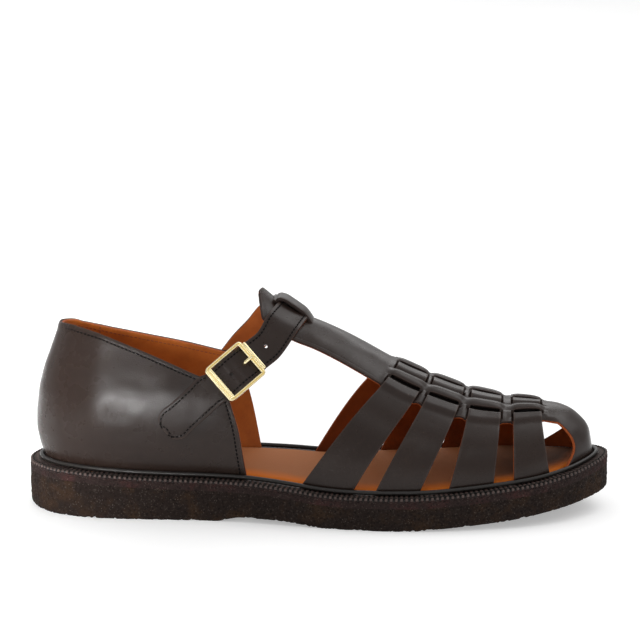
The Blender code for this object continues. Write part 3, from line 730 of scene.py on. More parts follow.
def press(piece: Piece, dents: Table) -> None:
    """Presses soft troughs into a mesh, or raises ridges where the depth is negative.

    Args:
        piece: the sheet.
        dents: rows of x, y, z, the lean from x towards z in degrees, half length, half width and depth.
    """
    places = vertex_places(piece)
    relief = np.zeros(len(places))
    for x, y, z, lean, length, width, depth in dents:
        offset = (places - into_frame((x, y, z))) / MM
        turn = math.radians(lean)
        along = offset[:, 0] * math.cos(turn) + offset[:, 2] * math.sin(turn)
        aside = np.hypot(offset[:, 2] * math.cos(turn) - offset[:, 0] * math.sin(turn), 0.5 * offset[:, 1])
        relief -= depth * np.exp(-((along / length) ** 2) - (aside / width) ** 2)
    raise_by(piece, relief)


def cut_away(piece: Piece, cells: Points) -> None:
    """Deletes the cells of a grid that a mask marks."""
    with editing(piece):
        bm = bmesh.from_edit_mesh(piece.data)
        bm.faces.ensure_lookup_table()
        for index in np.flatnonzero(cells.reshape(-1)):
            bm.faces[index].select_set(True)
        bmesh.update_edit_mesh(piece.data)
        bpy.ops.mesh.delete(type="FACE")


def thicken(piece: Piece, thickness: float, finishes: Sequence["Finish"], round_off: float = 0.3) -> None:
    """Gives an open sheet its wall, with a finish for its outside, its inside and its cut edge.

    Args:
        piece: the sheet, whose faces look outward.
        thickness: the wall, in millimetres, laid on the inside.
        finishes: of the outside, the inside and the cut edge.
        round_off: how much the edges are rounded, in millimetres.
    """
    for finish in finishes:
        piece.data.materials.append(finish.make())
    outer = len(piece.data.vertices)
    apply(
        piece,
        "SOLIDIFY",
        thickness=thickness * MM,
        offset=-1.0,
        use_quality_normals=True,
        material_offset=1,
        material_offset_rim=2,
    )
    keep_number(piece, "depth", np.arange(len(piece.data.vertices)) >= outer)
    settings = {"segments": 2, "limit_method": "ANGLE", "angle_limit": math.radians(CREASE)}
    apply(piece, "BEVEL", width=round_off * MM, **settings)
    smooth(piece)


def smooth(piece: Piece, degrees: float = CREASE) -> None:
    """Shades a piece smooth, with creases past an angle."""
    activate(piece)
    bpy.ops.object.shade_smooth_by_angle(angle=math.radians(degrees))


def seat(piece: Piece, slot: str, *nodes: str) -> None:
    """Lets a finished piece ride on the sandal and stands it for its solids."""
    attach(piece, "root")
    if nodes:
        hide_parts(*nodes)
    log.info("%s: %d faces", piece.name, len(piece.data.polygons))


# ---- finishes

Colour = Triple


def scaled(colour: Colour, share: float) -> Colour:
    """A colour made darker or, where the share is over 1, lighter."""
    return share * colour[0], share * colour[1], share * colour[2]


def srgb(red: float, green: float, blue: float) -> Colour:
    """A colour given as a screen's numbers, 0 to 255, as linear light."""
    shares = [value / 255 for value in (red, green, blue)]
    linear = [v / 12.92 if v <= 0.04045 else ((v + 0.055) / 1.055) ** 2.4 for v in shares]
    return linear[0], linear[1], linear[2]


class Number:
    """A number in a material, on which Python's operators add Math nodes."""

    def __init__(self, graph: "Graph", socket: Socket) -> None:
        """Wraps the socket that gives the number."""
        self.graph = graph
        self.socket = socket

    def math(self, operation: str, first: object, second: object = 0.0) -> "Number":
        """The result of one Math node."""
        node = self.graph.node("ShaderNodeMath", {"operation": operation}, {0: first, 1: second})
        return Number(self.graph, node.outputs[0])

    def __add__(self, other: object) -> "Number":
        """self + other."""
        return self.math("ADD", self, other)

    def __sub__(self, other: object) -> "Number":
        """self - other."""
        return self.math("SUBTRACT", self, other)

    def __rsub__(self, other: object) -> "Number":
        """other - self."""
        return self.math("SUBTRACT", other, self)

    def __mul__(self, other: object) -> "Number":
        """self * other."""
        return self.math("MULTIPLY", self, other)

    __radd__ = __add__
    __rmul__ = __mul__

    def clamped(self) -> "Number":
        """The number kept from 0 to 1."""
        return Number(self.graph, self.graph.node("ShaderNodeClamp", {}, {"Value": self}).outputs[0])

    def rising(self, low: float, high: float) -> "Number":
        """0 below low and 1 above high, smooth between, or falling where low is the greater."""
        settings = {"interpolation_type": "SMOOTHSTEP"}
        values = {"Value": self, "From Min": min(low, high), "From Max": max(low, high)}
        node = self.graph.node("ShaderNodeMapRange", settings, values)
        rise = Number(self.graph, node.outputs["Result"])
        return rise if low < high else 1.0 - rise

    def band(self, middle: float, half: float) -> "Number":
        """1 at the middle and 0 further from it than half."""
        return self.math("ABSOLUTE", self - middle).rising(half, 0.35 * half)


class Graph:
    """The nodes of one material."""

    def __init__(self, material: bpy.types.Material) -> None:
        """Empties the material's tree and adds its shader and output."""
        material.use_nodes = True
        self.tree = material.node_tree
        self.tree.nodes.clear()
        self.shader = self.tree.nodes.new("ShaderNodeBsdfPrincipled")
        output = self.tree.nodes.new("ShaderNodeOutputMaterial")
        self.tree.links.new(self.shader.outputs[0], output.inputs["Surface"])

    def node(self, kind: str, settings: Values, inputs: Values) -> bpy.types.Node:
        """Adds a node.

        Args:
            kind: the node's type.
            settings: its own properties, set before its sockets.
            inputs: values, sockets or Numbers for its input sockets, by name or place.

        Returns:
            The node.
        """
        node = self.tree.nodes.new(kind)
        for name, value in settings.items():
            setattr(node, name, value)
        for name, value in inputs.items():
            self.feed(node.inputs[name], value)
        return node

    def feed(self, socket: Socket, value: object) -> None:
        """Links or sets one input socket.

        Args:
            socket: the input.
            value: a setting, or what feeds the input.
        """
        if isinstance(value, Number):
            self.tree.links.new(value.socket, socket)
        elif isinstance(value, Socket):
            self.tree.links.new(value, socket)
        elif isinstance(value, tuple) and len(value) == 3 and socket.type == "RGBA":
            socket.default_value = (*value, 1.0)
        else:
            socket.default_value = value

    def shade(self, values: Values) -> None:
        """Links or sets the shader's sockets, by name."""
        for name, value in values.items():
            self.feed(self.shader.inputs[name], value)

    def place(self, stretch: Triple = (1.0, 1.0, 1.0)) -> Socket:
        """The place on the piece, in metres, with each axis multiplied."""
        source = self.node("ShaderNodeTexCoord", {}, {}).outputs["Object"]
        if stretch == (1.0, 1.0, 1.0):
            return source
        return self.node("ShaderNodeMapping", {}, {"Vector": source, "Scale": stretch}).outputs[0]

    def kept(self, name: str) -> Number:
        """A number kept on the mesh."""
        return Number(self, self.node("ShaderNodeAttribute", {"attribute_name": name}, {}).outputs["Fac"])

    def noise(
        self, size: float, detail: float = 2.0, roughness: float = 0.5, stretch: Triple = (1.0, 1.0, 1.0)
    ) -> Number:
        """Soft random variation from 0 to 1.

        Args:
            size: of one patch, in millimetres.
            detail: how many finer layers are added.
            roughness: how strong those are.
            stretch: how each axis is multiplied.

        Returns:
            The variation.
        """
        values = {"Scale": 1 / (size * MM), "Detail": detail, "Roughness": roughness}
        node = self.node("ShaderNodeTexNoise", {}, {"Vector": self.place(stretch), **values})
        return Number(self, node.outputs["Fac"])

    def cells(self, size: float) -> Number:
        """The distance to the middle of the nearest of random cells of a size in millimetres."""
        node = self.node("ShaderNodeTexVoronoi", {}, {"Vector": self.place(), "Scale": 1 / (size * MM)})
        return Number(self, node.outputs["Distance"])

    def mix(self, share: object, first: object, second: object) -> Socket:
        """A colour between two."""
        node = self.node("ShaderNodeMix", {"data_type": "RGBA"}, {0: share, 6: first, 7: second})
        return node.outputs[2]

    def relief(self, height: Number) -> None:
        """Lets the surface look raised by a height in millimetres."""
        bump = self.node("ShaderNodeBump", {}, {"Height": height, "Distance": MM})
        self.shade({"Normal": bump.outputs[0]})


@dataclass(frozen=True)
class Finish:
    """A finish, with what is the same all over it."""

    name: str
    colour: Colour
    roughness: float
    gloss: float = 0.5
    metallic: float = 0.0

    def make(self) -> bpy.types.Material:
        """Makes the finish once.

        Returns:
            Its material.
        """
        made = bpy.data.materials.get(self.name)
        if made is not None:
            return made
        made = bpy.data.materials.new(self.name)
        graph = Graph(made)
        graph.shade({"Base Color": self.colour, "Roughness": self.roughness})
        graph.shade({"Metallic": self.metallic, "Specular IOR Level": self.gloss})
        self.dress(graph)
        return made

    def dress(self, graph: Graph) -> None:
        """Adds what varies over the surface. Each finish has its own."""
        raise NotImplementedError


@dataclass(frozen=True)
class UpperLeather(Finish):
    """Waxed dark brown leather with a fine grain, rubbed edges and a groove beside those that are sewn."""

    worn: Colour = (0.0, 0.0, 0.0)
    groove: float = 2.0  # from the edge to its groove
    grain: float = 0.05

    def dress(self, graph: Graph) -> None:
        """Adds mottling, rubbed edges, painted shade beside the T-bar's slits, grain, soft dents and the
        grooves.

        Args:
            graph: the material's nodes.
        """
        patches = graph.noise(26.0, 1.0, 0.4).rising(0.2, 0.85)
        specks = graph.noise(3.2, 4.0, 0.62).rising(0.3, 0.75)
        edge = graph.kept("from_edge")
        seam = edge.band(self.groove, 0.5) * graph.kept("sewn")
        rim = edge.rising(0.9, 0.2)
        colour = graph.mix(patches * 0.7 + specks * 0.3, self.colour, self.worn)
        colour = graph.mix(rim * 0.6, colour, scaled(self.worn, 2.0))
        # painted shade: the cross straps go near black, and rougher, beside and under the T-bar's ridges,
        # standing in for the shadow in the slits
        soiled = graph.kept("soiled")
        colour = graph.mix(soiled * 0.85, colour, scaled(self.colour, 0.1))
        dull = graph.noise(7.0, 4.0).rising(0.2, 0.8)
        roughness = self.roughness + dull * 0.06 - patches * 0.03 + soiled * 0.5
        graph.shade({"Base Color": colour, "Roughness": roughness})
        pores = graph.cells(0.62).rising(0.0, 0.75)
        wrinkles = graph.noise(1.5, 3.0, 0.6)
        height = pores * self.grain + wrinkles * (1.3 * self.grain) - seam * 0.06
        graph.relief(height + graph.noise(14.0, 1.0) * 0.5)


@dataclass(frozen=True)
class LiningLeather(Finish):
    """Smooth tan lining leather, browner in patches, with a dark turned-over top round the heel."""

    worn: Colour = (0.0, 0.0, 0.0)
    turned_over: Pair = (4.2, 3.4)  # how far down from the edge the dark top ends

    def dress(self, graph: Graph) -> None:
        """Adds soft patches of wear and the dark top.

        Args:
            graph: the material's nodes.
        """
        patches = graph.noise(22.0, 4.0, 0.6).rising(0.3, 0.72)
        specks = graph.noise(1.8, 3.0, 0.6)
        colour = graph.mix((patches * 0.75 + specks * 0.2).clamped(), self.colour, self.worn)
        collar = graph.kept("collar") * graph.kept("from_edge").rising(*self.turned_over)
        self.lay(graph, graph.mix(collar, colour, scaled(self.worn, 0.12)), specks)

    def lay(self, graph: Graph, colour: Socket, specks: Number) -> None:
        """Lays a colour on leather with a faint grain, rougher where it has specks."""
        graph.shade({"Base Color": colour, "Roughness": self.roughness + specks * 0.15})
        graph.relief(graph.cells(0.7).rising(0.0, 0.8) * 0.03 + graph.noise(1.4, 3.0) * 0.06)


@dataclass(frozen=True)
class TroddenLeather(LiningLeather):
    """The insole's leather, browner away from its lateral edge, with painted shade under the toe cap."""

    trodden: Colour = (0.0, 0.0, 0.0)
    soiled: Colour = (0.0, 0.0, 0.0)

    def dress(self, graph: Graph) -> None:
        """Adds wear that grows from the edge inward, and the painted shade under the toe cap.

        Args:
            graph: the material's nodes.
        """
        specks = graph.noise(1.8, 3.0, 0.6)
        patches = graph.noise(16.0, 4.0, 0.6)
        inward = (graph.kept("from_edge") + patches * 8.0 - 4.0).rising(2.0, 15.0)
        colour = graph.mix((inward * 0.85 + specks * 0.15).clamped(), self.colour, self.trodden)
        # painted shade: towards the toe the insole darkens to near black-brown, for the shade under the toe
        # cap
        self.lay(graph, graph.mix(graph.kept("toe") * inward * 0.8, colour, self.soiled), specks)


@dataclass(frozen=True)
class CutEdge(Finish):
    """The cut edge of upper and lining: dyed next to the outside, raw for the kept share of its depth."""

    worn: Colour = (0.0, 0.0, 0.0)
    dyed: Colour = (0.0, 0.0, 0.0)

    def dress(self, graph: Graph) -> None:
        """Adds fibres along the edge, and the dye.

        Args:
            graph: the material's nodes.
        """
        fibre = graph.noise(0.9, 3.0, 0.7)
        raw = graph.mix(fibre.rising(0.3, 0.7), self.colour, self.worn)
        bare = (graph.kept("depth") + graph.kept("raw") - graph.kept("collar")).rising(1.0, 1.08)
        graph.shade({"Base Color": graph.mix(bare, self.dyed, raw)})
        graph.relief(fibre * 0.12)


@dataclass(frozen=True)
class Crepe(Finish):
    """Buffed crepe rubber, pitted and streaked, with reddish patches."""

    tint: Colour = (0.0, 0.0, 0.0)
    pale: Colour = (0.0, 0.0, 0.0)

    def dress(self, graph: Graph) -> None:
        """Adds pits, short scratches and patches of tint.

        Args:
            graph: the material's nodes.
        """
        patches = graph.noise(15.0, 4.0, 0.65).rising(0.46, 0.68)
        specks = graph.noise(1.1, 3.0, 0.7)
        pits = graph.cells(1.7).rising(0.05, 0.5)
        crumbs = graph.cells(1.15).rising(0.3, 0.12) * graph.noise(4.0, 2.0).rising(0.42, 0.6)
        colour = graph.mix(patches, self.colour, self.tint)
        colour = graph.mix((specks.rising(0.56, 0.78) * 0.4 + crumbs * 0.5).clamped(), colour, self.pale)
        colour = graph.mix((1.0 - pits) * 0.6, colour, scaled(self.colour, 0.3))
        graph.shade({"Base Color": colour, "Roughness": self.roughness - specks * 0.2})
        rubbed = graph.noise(0.9, 4.0, 0.75) * 0.6 + graph.noise(3.0, 2.0, 0.5, (0.5, 0.5, 1.4)) * 0.6
        graph.relief(rubbed + pits * 0.35 + crumbs * 0.25)


@dataclass(frozen=True)
class PlainLeather(Finish):
    """Dark dressed leather of the welt and its bead."""

    grain: float = 0.05

    def dress(self, graph: Graph) -> None:
        """Adds fine grain, uneven polish and painted shade in the grooves between ribs.

        Args:
            graph: the material's nodes.
        """
        specks = graph.noise(1.2, 3.0, 0.6)
        colour = graph.mix(specks.rising(0.3, 0.8), self.colour, scaled(self.colour, 1.9))
        # painted shade: the troughs between the welt's ribs go down to a tenth of the colour
        colour = graph.mix(graph.kept("groove").rising(0.05, 0.6), colour, scaled(self.colour, 0.1))
        graph.shade({"Base Color": colour, "Roughness": self.roughness + specks * 0.15})
        graph.relief(specks * self.grain)


@dataclass(frozen=True)
class Brass(Finish):
    """Polished pale brass, a little duller in patches."""

    def dress(self, graph: Graph) -> None:
        """Uneven polish and fine scratches."""
        dull = graph.noise(5.0, 1.0, 0.5).rising(0.35, 0.75)
        colour = graph.mix(dull * 0.25, self.colour, scaled(self.colour, 0.75))
        graph.shade({"Base Color": colour, "Roughness": self.roughness + dull * 0.05})
        graph.relief(graph.noise(0.5, 2.0, 0.6, (1.0, 3.0, 1.0)) * 0.005)


@dataclass(frozen=True)
class Yarn(Finish):
    """Waxed sewing thread."""

    def dress(self, graph: Graph) -> None:
        """The twist of the strands."""
        twist = graph.noise(0.45, 1.0, 0.5)
        graph.shade({"Base Color": graph.mix(twist.rising(0.3, 0.7), self.colour, scaled(self.colour, 1.6))})
        graph.relief(twist * 0.1)


UPPER = UpperLeather("waxed_brown_leather", srgb(38, 28, 24), 0.27, 0.25, worn=srgb(47, 36, 31), grain=0.018)
LINING = LiningLeather("tan_lining_leather", srgb(202, 116, 48), 0.55, 0.3, worn=srgb(160, 86, 32))
# painted shade: a darker copy of the tan lining for the woven vamp's insides, which lie in shade
SHADED_LINING = LiningLeather("shaded_lining_leather", srgb(146, 68, 20), 0.6, 0.2, worn=srgb(104, 46, 14))
BACK_LINING = LiningLeather("strap_lining_leather", srgb(196, 108, 50), 0.6, 0.2, worn=srgb(152, 80, 34))
EDGE = CutEdge(
    "cut_leather_edge", srgb(190, 98, 50), 0.7, 0.25, worn=srgb(150, 74, 38), dyed=srgb(52, 41, 37)
)
CREPE = Crepe("crepe_rubber", srgb(35, 27, 24), 0.9, 0.1, tint=srgb(50, 36, 26), pale=srgb(112, 102, 94))
MIDSOLE = Crepe(
    "reddish_midsole_rubber", srgb(42, 31, 29), 0.9, 0.15, tint=srgb(60, 36, 34), pale=srgb(108, 96, 88)
)
WELT = PlainLeather("dark_welt_leather", srgb(66, 53, 49), 0.5, 0.4, grain=0.12)
BEAD = PlainLeather("polished_bead_leather", srgb(28, 25, 23), 0.32, 0.4)
# its last colour is the painted shade under the toe cap
INSOLE = TroddenLeather(
    "tan_insole_leather", srgb(206, 110, 32), 0.7, 0.12, trodden=srgb(164, 108, 70), soiled=srgb(58, 38, 26)
)
BRASS = Brass("pale_brass", srgb(255, 240, 192), 0.2, metallic=1.0)
DARK_THREAD = Yarn("dark_waxed_thread", srgb(9, 7, 7), 0.7, 0.1)
TAN_THREAD = Yarn("tan_thread", srgb(122, 62, 26), 0.6)
WELT_THREAD = Yarn("welt_thread", srgb(28, 24, 22), 0.7, 0.2)
SHELL = (UPPER, LINING, EDGE)
# the woven vamp's finishes, with the painted-shade lining inside
WOVEN_SHELL = (UPPER, SHADED_LINING, EDGE)


# ---- stitching


class Border(Enum):
    """An edge of a sheet's grid of points."""

    FIRST_COLUMN = "first column"
    LAST_COLUMN = "last column"
    FIRST_ROW = "first row"
    LAST_ROW = "last row"

    def first(self, points: Points) -> Points:
        """The grid turned so that this edge is its first column."""
        if self in (Border.FIRST_ROW, Border.LAST_ROW):
            points = points.transpose(1, 0, 2)
        return points[:, ::-1] if self in (Border.LAST_COLUMN, Border.LAST_ROW) else points


Seam = tuple[Points, Points]
BESIDE = 0.6  # how far to each side of a seam a sheet's slope is taken, in millimetres


def seam_line(points: Points, border: Border, inset: float, inside: Triple) -> Seam:
    """A line on a sheet that keeps a distance from one of its edges.

    Args:
        points: the sheet's grid of points, in millimetres.
        border: the edge that the line follows.
        inset: the distance from it.
        inside: a point that the sheet's outside looks away from.

    Returns:
        The line's points and the sheet's outward normals there.
    """
    rows = border.first(points)

    def at(distance: float) -> Points:
        """The line at a distance from the edge."""
        return np.array([at_run(distance, run_along(row), row) for row in rows])

    line = at(inset)
    normal = np.cross(np.gradient(line, axis=0), at(inset + BESIDE) - at(max(inset - BESIDE, 0.0)))
    normal /= np.linalg.norm(normal, axis=1, keepdims=True).clip(1e-9)
    facing = np.sign(np.sum(normal * (line - np.array(inside))))
    return line, normal * facing


@dataclass(frozen=True)
class Stitching:
    """A row of stitches: how far apart, how long and how thick, and how deep they lie."""

    pitch: float = 2.1
    length: float = 1.0
    radius: float = 0.42
    rise: float = 0.08

    REACH = 0.4  # how far to each side of its middle a stitch's direction is taken

    def one(self) -> tuple[Points, list[tuple[int, ...]]]:
        """One stitch along x, shaped from a primitive.

        Returns:
            Its points, in millimetres, and its faces.
        """
        deselect()
        bpy.ops.mesh.primitive_cylinder_add(vertices=6, radius=self.radius, depth=self.length)
        stitch = bpy.context.active_object
        with editing(stitch):
            bpy.ops.mesh.select_all(action="SELECT")
            bpy.ops.transform.rotate(value=math.pi / 2, orient_axis="Y", center_override=(0, 0, 0))
            bpy.ops.mesh.select_all(action="DESELECT")
            bpy.ops.mesh.select_face_by_sides(number=6)
            bpy.ops.mesh.inset(thickness=0.3 * self.radius, depth=0.35 * self.radius)
        places = np.array([vertex.co for vertex in stitch.data.vertices])
        faces = [tuple(polygon.vertices) for polygon in stitch.data.polygons]
        bpy.data.objects.remove(stitch)
        return places, faces

    def sew(self, name: str, seams: Sequence[Seam], finish: Finish) -> Piece:
        """Lays stitches along lines and joins them.

        Args:
            name: the piece's name.
            seams: lines of points, in millimetres, each with the surface's normals.
            finish: the thread.

        Returns:
            The stitches as one piece.
        """
        places, faces = self.one()
        points, polygons = [], []
        for line, normals in seams:
            run = run_along(line)
            count = max(int(run[-1] / self.pitch), 1)
            for middle in (np.arange(count) + 0.5) * run[-1] / count:
                before, after = at_run(np.array((middle - self.REACH, middle + self.REACH)), run, line)
                along = Vector(after - before).normalized()
                out = Vector(at_run(middle, run, normals))
                across = out.cross(along).normalized()
                turn = np.array([along, across, along.cross(across)])
                start = len(points) * len(places)
                points.append(places @ turn + (before + after) / 2 + self.rise * np.array(out))
                polygons += [tuple(index + start for index in face) for face in faces]
        mesh = bpy.data.meshes.new(name)
        mesh.from_pydata(into_frame(np.vstack(points)), [], polygons)
        mesh.materials.append(finish.make())
        piece = bpy.data.objects.new(name, mesh)
        bpy.context.scene.collection.objects.link(piece)
        smooth(piece, 60)
        return piece


# ---- the sole


@dataclass
class Sole:
    """Crepe outsole, midsole, welt with its bead, and insole."""

    last: Last
    stations: int = 300
    welt: float = 2.2
    welt_inset: float = 10.9  # its inner edge, under the upper
    midsole: float = 2.9
    insole_inset: float = 11.4
    insole_rise: float = 1.6
    under_toe_cap: Pair = (222.0, 258.0)  # x from which the painted shade under the toe cap begins on the insole, and where it is whole
    bead_radius: float = 1.15
    bead_inset: float = 6.1
    bead_sides: int = 12
    rib_pitch: float = 2.6
    rib_reach: float = 1.3  # how far they run down the welt's outer face
    rib_depth: float = 0.9
    crumb_stations: int = 620  # on each side of the sole
    crumb_levels: int = 20
    crumb_depth: float = 0.12
    crumb_out: float = 0.1  # the furthest that a crumb stands out
    ragged: float = 1.0  # how far the crepe's lower edge wavers
    under_edge: float = 3.2  # from the sole's edge in to where the tread is flat
    stitch_inset: float = 1.5
    stitching: Stitching = Stitching(2.6, 1.5, 0.4, 0.05)

    CRUMBS = (
        # size, depth
        (0.8, 0.2),
        (1.9, 0.34),
        (6.0, 0.34),
    )

    def above_welt(self, rise: float) -> Height:
        """The height of something that follows the welt, at a constant rise above it."""
        return lambda x: self.last.welt_top(x) + rise

    def slab(self, name: str, rings: Sequence[Points], strips: int = 10) -> Piece:
        """A closed layer through rings, bottom to top.

        Args:
            name: the piece's name.
            rings: loops of points, lateral side forward and medial side back.
            strips: how many faces lie across its underside and its top.

        Returns:
            The piece.
        """
        walls = grid(name, np.array([closed_loop(ring) for ring in rings]))
        covers = []
        for ring in (rings[0], rings[-1]):
            half = len(ring) // 2
            lateral, medial = ring[: half + 1], closed_loop(ring)[: half - 1 : -1]
            share = np.linspace(0.0, 1.0, strips + 1)[:, None, None]
            covers.append(grid(name, lateral * (1 - share) + medial * share))
        piece = join(name, [walls, *covers])
        merge(piece, 0.002)
        return piece

    def crumbled(self, inset: float, height: Height, ragged: float = 0.0) -> Points:
        """A loop round the crepe's side, roughened as rubber is by buffing.

        Args:
            inset: how far in from the sole's edge.
            height: gives z from x.
            ragged: how far the loop wavers up and down, in millimetres.

        Returns:
            The loop's points.
        """
        ring = self.last.ring(inset, height, self.crumb_stations)
        places = [Vector(place) for place in ring]
        rough = [sum(depth * noise.noise(place / size) for size, depth in self.CRUMBS) for place in places]
        out = np.minimum(np.array(rough) - self.crumb_depth, self.crumb_out)
        ring = self.last.ring(inset, height, self.crumb_stations, out)
        if ragged:
            waver = [noise.noise(place / 1.5) + 0.9 * noise.noise(place / 3.6) for place in places]
            ring[:, 2] += ragged * np.clip(np.array(waver) - 0.15, 0.0, 1.3)
        return ring

    def outsole(self) -> Piece:
        """Makes the crepe, with its buffed uneven side and ragged lower edge.

        Returns:
            The finished piece.
        """
        top = -self.welt - self.midsole - self.last.GAP
        rings = []
        for level in range(self.crumb_levels + 1):
            share = level / self.crumb_levels
            inset = 0.1 + 0.5 * (1 - float(smoothstep(0.0, 0.07, share)))

            def height(x: Points, share: float = share) -> Points:
                """The level's height from the tread up to the midsole."""
                low, high = self.last.tread(x), self.last.welt_top(x) + top
                return low + (high - low) * share

            rings.append(self.crumbled(inset, height, self.ragged * max(1.0 - 8 * share, 0.0)))
        sole_floor = self.last.ring(self.under_edge, self.last.tread, self.crumb_stations)
        piece = self.slab("crepe_outsole", [sole_floor, *rings])
        piece.data.materials.append(CREPE.make())
        smooth(piece, 80)
        seat(piece, "crepe", "outsole")
        return piece

    def midsole_layer(self) -> Piece:
        """Makes the thin reddish layer between crepe and welt, buffed flush with both.

        Returns:
            The finished piece.
        """
        high = -self.welt
        low = high - self.midsole - self.last.GAP
        rings = []
        for inset, share in ((1.6, 0.0), *((0.1, share) for share in np.linspace(0.0, 1.0, 5)), (1.6, 1.0)):
            rings.append(self.crumbled(inset, self.above_welt(low + share * (high - low))))
        piece = self.slab("midsole_layer", rings)
        piece.data.materials.append(MIDSOLE.make())
        smooth(piece, 80)
        seat(piece, "midsole_rubber", "midsole")
        return piece

    def welt_strip(self) -> Piece:
        """Makes the welt, its top pressed into fine ribs that run outward.

        Returns:
            The finished piece.
        """
        ribs = int(run_along(self.last.ring(0.0, self.last.welt_top, self.stations))[-1] / self.rib_pitch)
        stations = 4 * ribs
        even = self.even_angles(stations)
        wave = (0.5 + 0.5 * np.cos(np.arange(2 * stations) * math.pi / 4)) ** 2
        inner = self.welt_inset
        section = (
            # inset, rise, share of the ribs' depth, and of it outward
            (inner, -self.welt, 0.0, 0.0),
            (0.4, -self.welt, 0.0, 0.0),
            (0.15, -self.welt + 0.15, 0.0, 0.2),
            (0.1, -1.7, 0.0, 0.3),
            (0.1, -1.2, 0.0, 0.9),
            (0.12, -0.3, 0.3, 1.0),
            (0.4, -0.05, 1.0, 0.8),
            (1.1, 0.0, 1.0, 0.0),
            (2.6, 0.0, 1.0, 0.0),
            (3.9, 0.0, 1.0, 0.0),
            (4.6, -0.05, 0.3, 0.0),
            (inner, 0.0, 0.0, 0.0),
            (inner, -self.welt, 0.0, 0.0),
        )
        rows = []
        for inset, rise, down, out in section:
            lateral, lateral_out = self.last.edge_point(Side.LATERAL, even, inset)
            medial, medial_out = self.last.edge_point(Side.MEDIAL, even[-2:0:-1], inset)
            flat = np.concatenate([lateral, medial])
            rough = [0.3 * out * noise.noise(Vector((*place, rise)) / 1.9) for place in flat]
            inward = wave * out * self.rib_depth - np.array(rough)
            flat = flat - inward[:, None] * np.concatenate([lateral_out, medial_out])
            height = self.last.welt_top(flat[:, 0]) + rise - wave * down * self.rib_depth
            rows.append(closed_loop(np.column_stack([flat, height])))
        piece = grid("welt_strip", np.array(rows))
        # marks the troughs between the ribs, where the welt's material paints shade
        keep_number(piece, "groove", np.tile(np.append(wave, wave[0]), len(rows)))
        merge(piece)
        piece.data.materials.append(WELT.make())
        piece.data.materials.append(MIDSOLE.make())
        for polygon in piece.data.polygons:
            x = polygon.center.x / MM + self.last.LENGTH / 2
            below = float(self.last.welt_top(x)) - polygon.center.z / MM
            polygon.material_index = int(abs(polygon.normal.z) < 0.5 and below > self.rib_reach)
        smooth(piece, 60)
        seat(piece, "welt_leather", "welt")
        return piece

    def even_angles(self, stations: int) -> Points:
        """Angles along the lateral side that lie evenly along its edge."""
        run = run_along(self.last.edge[Side.LATERAL][0])
        return np.interp(np.linspace(0.0, run[-1], stations + 1), run, self.last.angles)

    def welt_stitches(self) -> Piece:
        """The row of stitches that holds the welt, sunk in its ribs."""
        ring = closed_loop(self.last.ring(self.stitch_inset, self.last.welt_top, self.stations))
        normals = np.tile([0.0, 0.0, 1.0], (len(ring), 1))
        piece = self.stitching.sew("welt_stitches", [(ring, normals)], WELT_THREAD)
        seat(piece, "welt_leather")
        return piece

    def bead(self) -> Piece:
        """Makes the round polished bead against the upper.

        Returns:
            The finished piece.
        """
        rows = []
        for angle in np.linspace(0.0, 2 * math.pi, self.bead_sides + 1):
            inset = self.bead_inset - self.bead_radius * math.cos(angle)
            rise = self.last.GAP + self.bead_radius * (1 + math.sin(angle))
            rows.append(closed_loop(self.last.ring(inset, self.above_welt(rise), self.stations)))
        piece = grid("polished_welt_bead", np.array(rows), closed=True)
        piece.data.materials.append(BEAD.make())
        smooth(piece, 80)
        seat(piece, "bead_leather", "welt_bead")
        return piece

    def insole(self) -> Piece:
        """Makes the tan insole, its edge rolled over.

        Returns:
            The finished piece.
        """
        rings = []
        for inset, rise in (
            (self.insole_inset, -self.welt),
            (self.insole_inset, self.insole_rise - 1.2),
            (self.insole_inset + 0.2, self.insole_rise - 0.6),
            (self.insole_inset + 0.7, self.insole_rise - 0.2),
            (self.insole_inset + 1.6, self.insole_rise),
            (self.insole_inset + 5.0, self.insole_rise + 0.1),
        ):
            rings.append(self.last.ring(inset, self.above_welt(rise), self.stations))
        piece = self.slab("tan_insole", rings, 24)
        flat = np.array((1.0, 1.0, 0.0))
        lateral = search_tree(into_frame(rings[0][: self.stations + 1]) * flat)
        places = vertex_places(piece)
        inward = [lateral.find(place)[2] / MM for place in places * flat]
        keep_number(piece, "from_edge", np.array(inward))
        # the mask of the insole's painted shade under the toe cap
        low, high = into_frame([(x, 0, 0) for x in self.under_toe_cap])[:, 0]
        keep_number(piece, "toe", smoothstep(low, high, places[:, 0]))
        piece.data.materials.append(INSOLE.make())
        smooth(piece, 60)
        seat(piece, "lining_leather", "insole")
        return piece

    def build(self) -> None:
        """Makes every layer, floor to foot."""
        self.outsole()
        self.midsole_layer()
        self.welt_strip()
        self.welt_stitches()
        self.bead()
        self.insole()


# ---- the upper


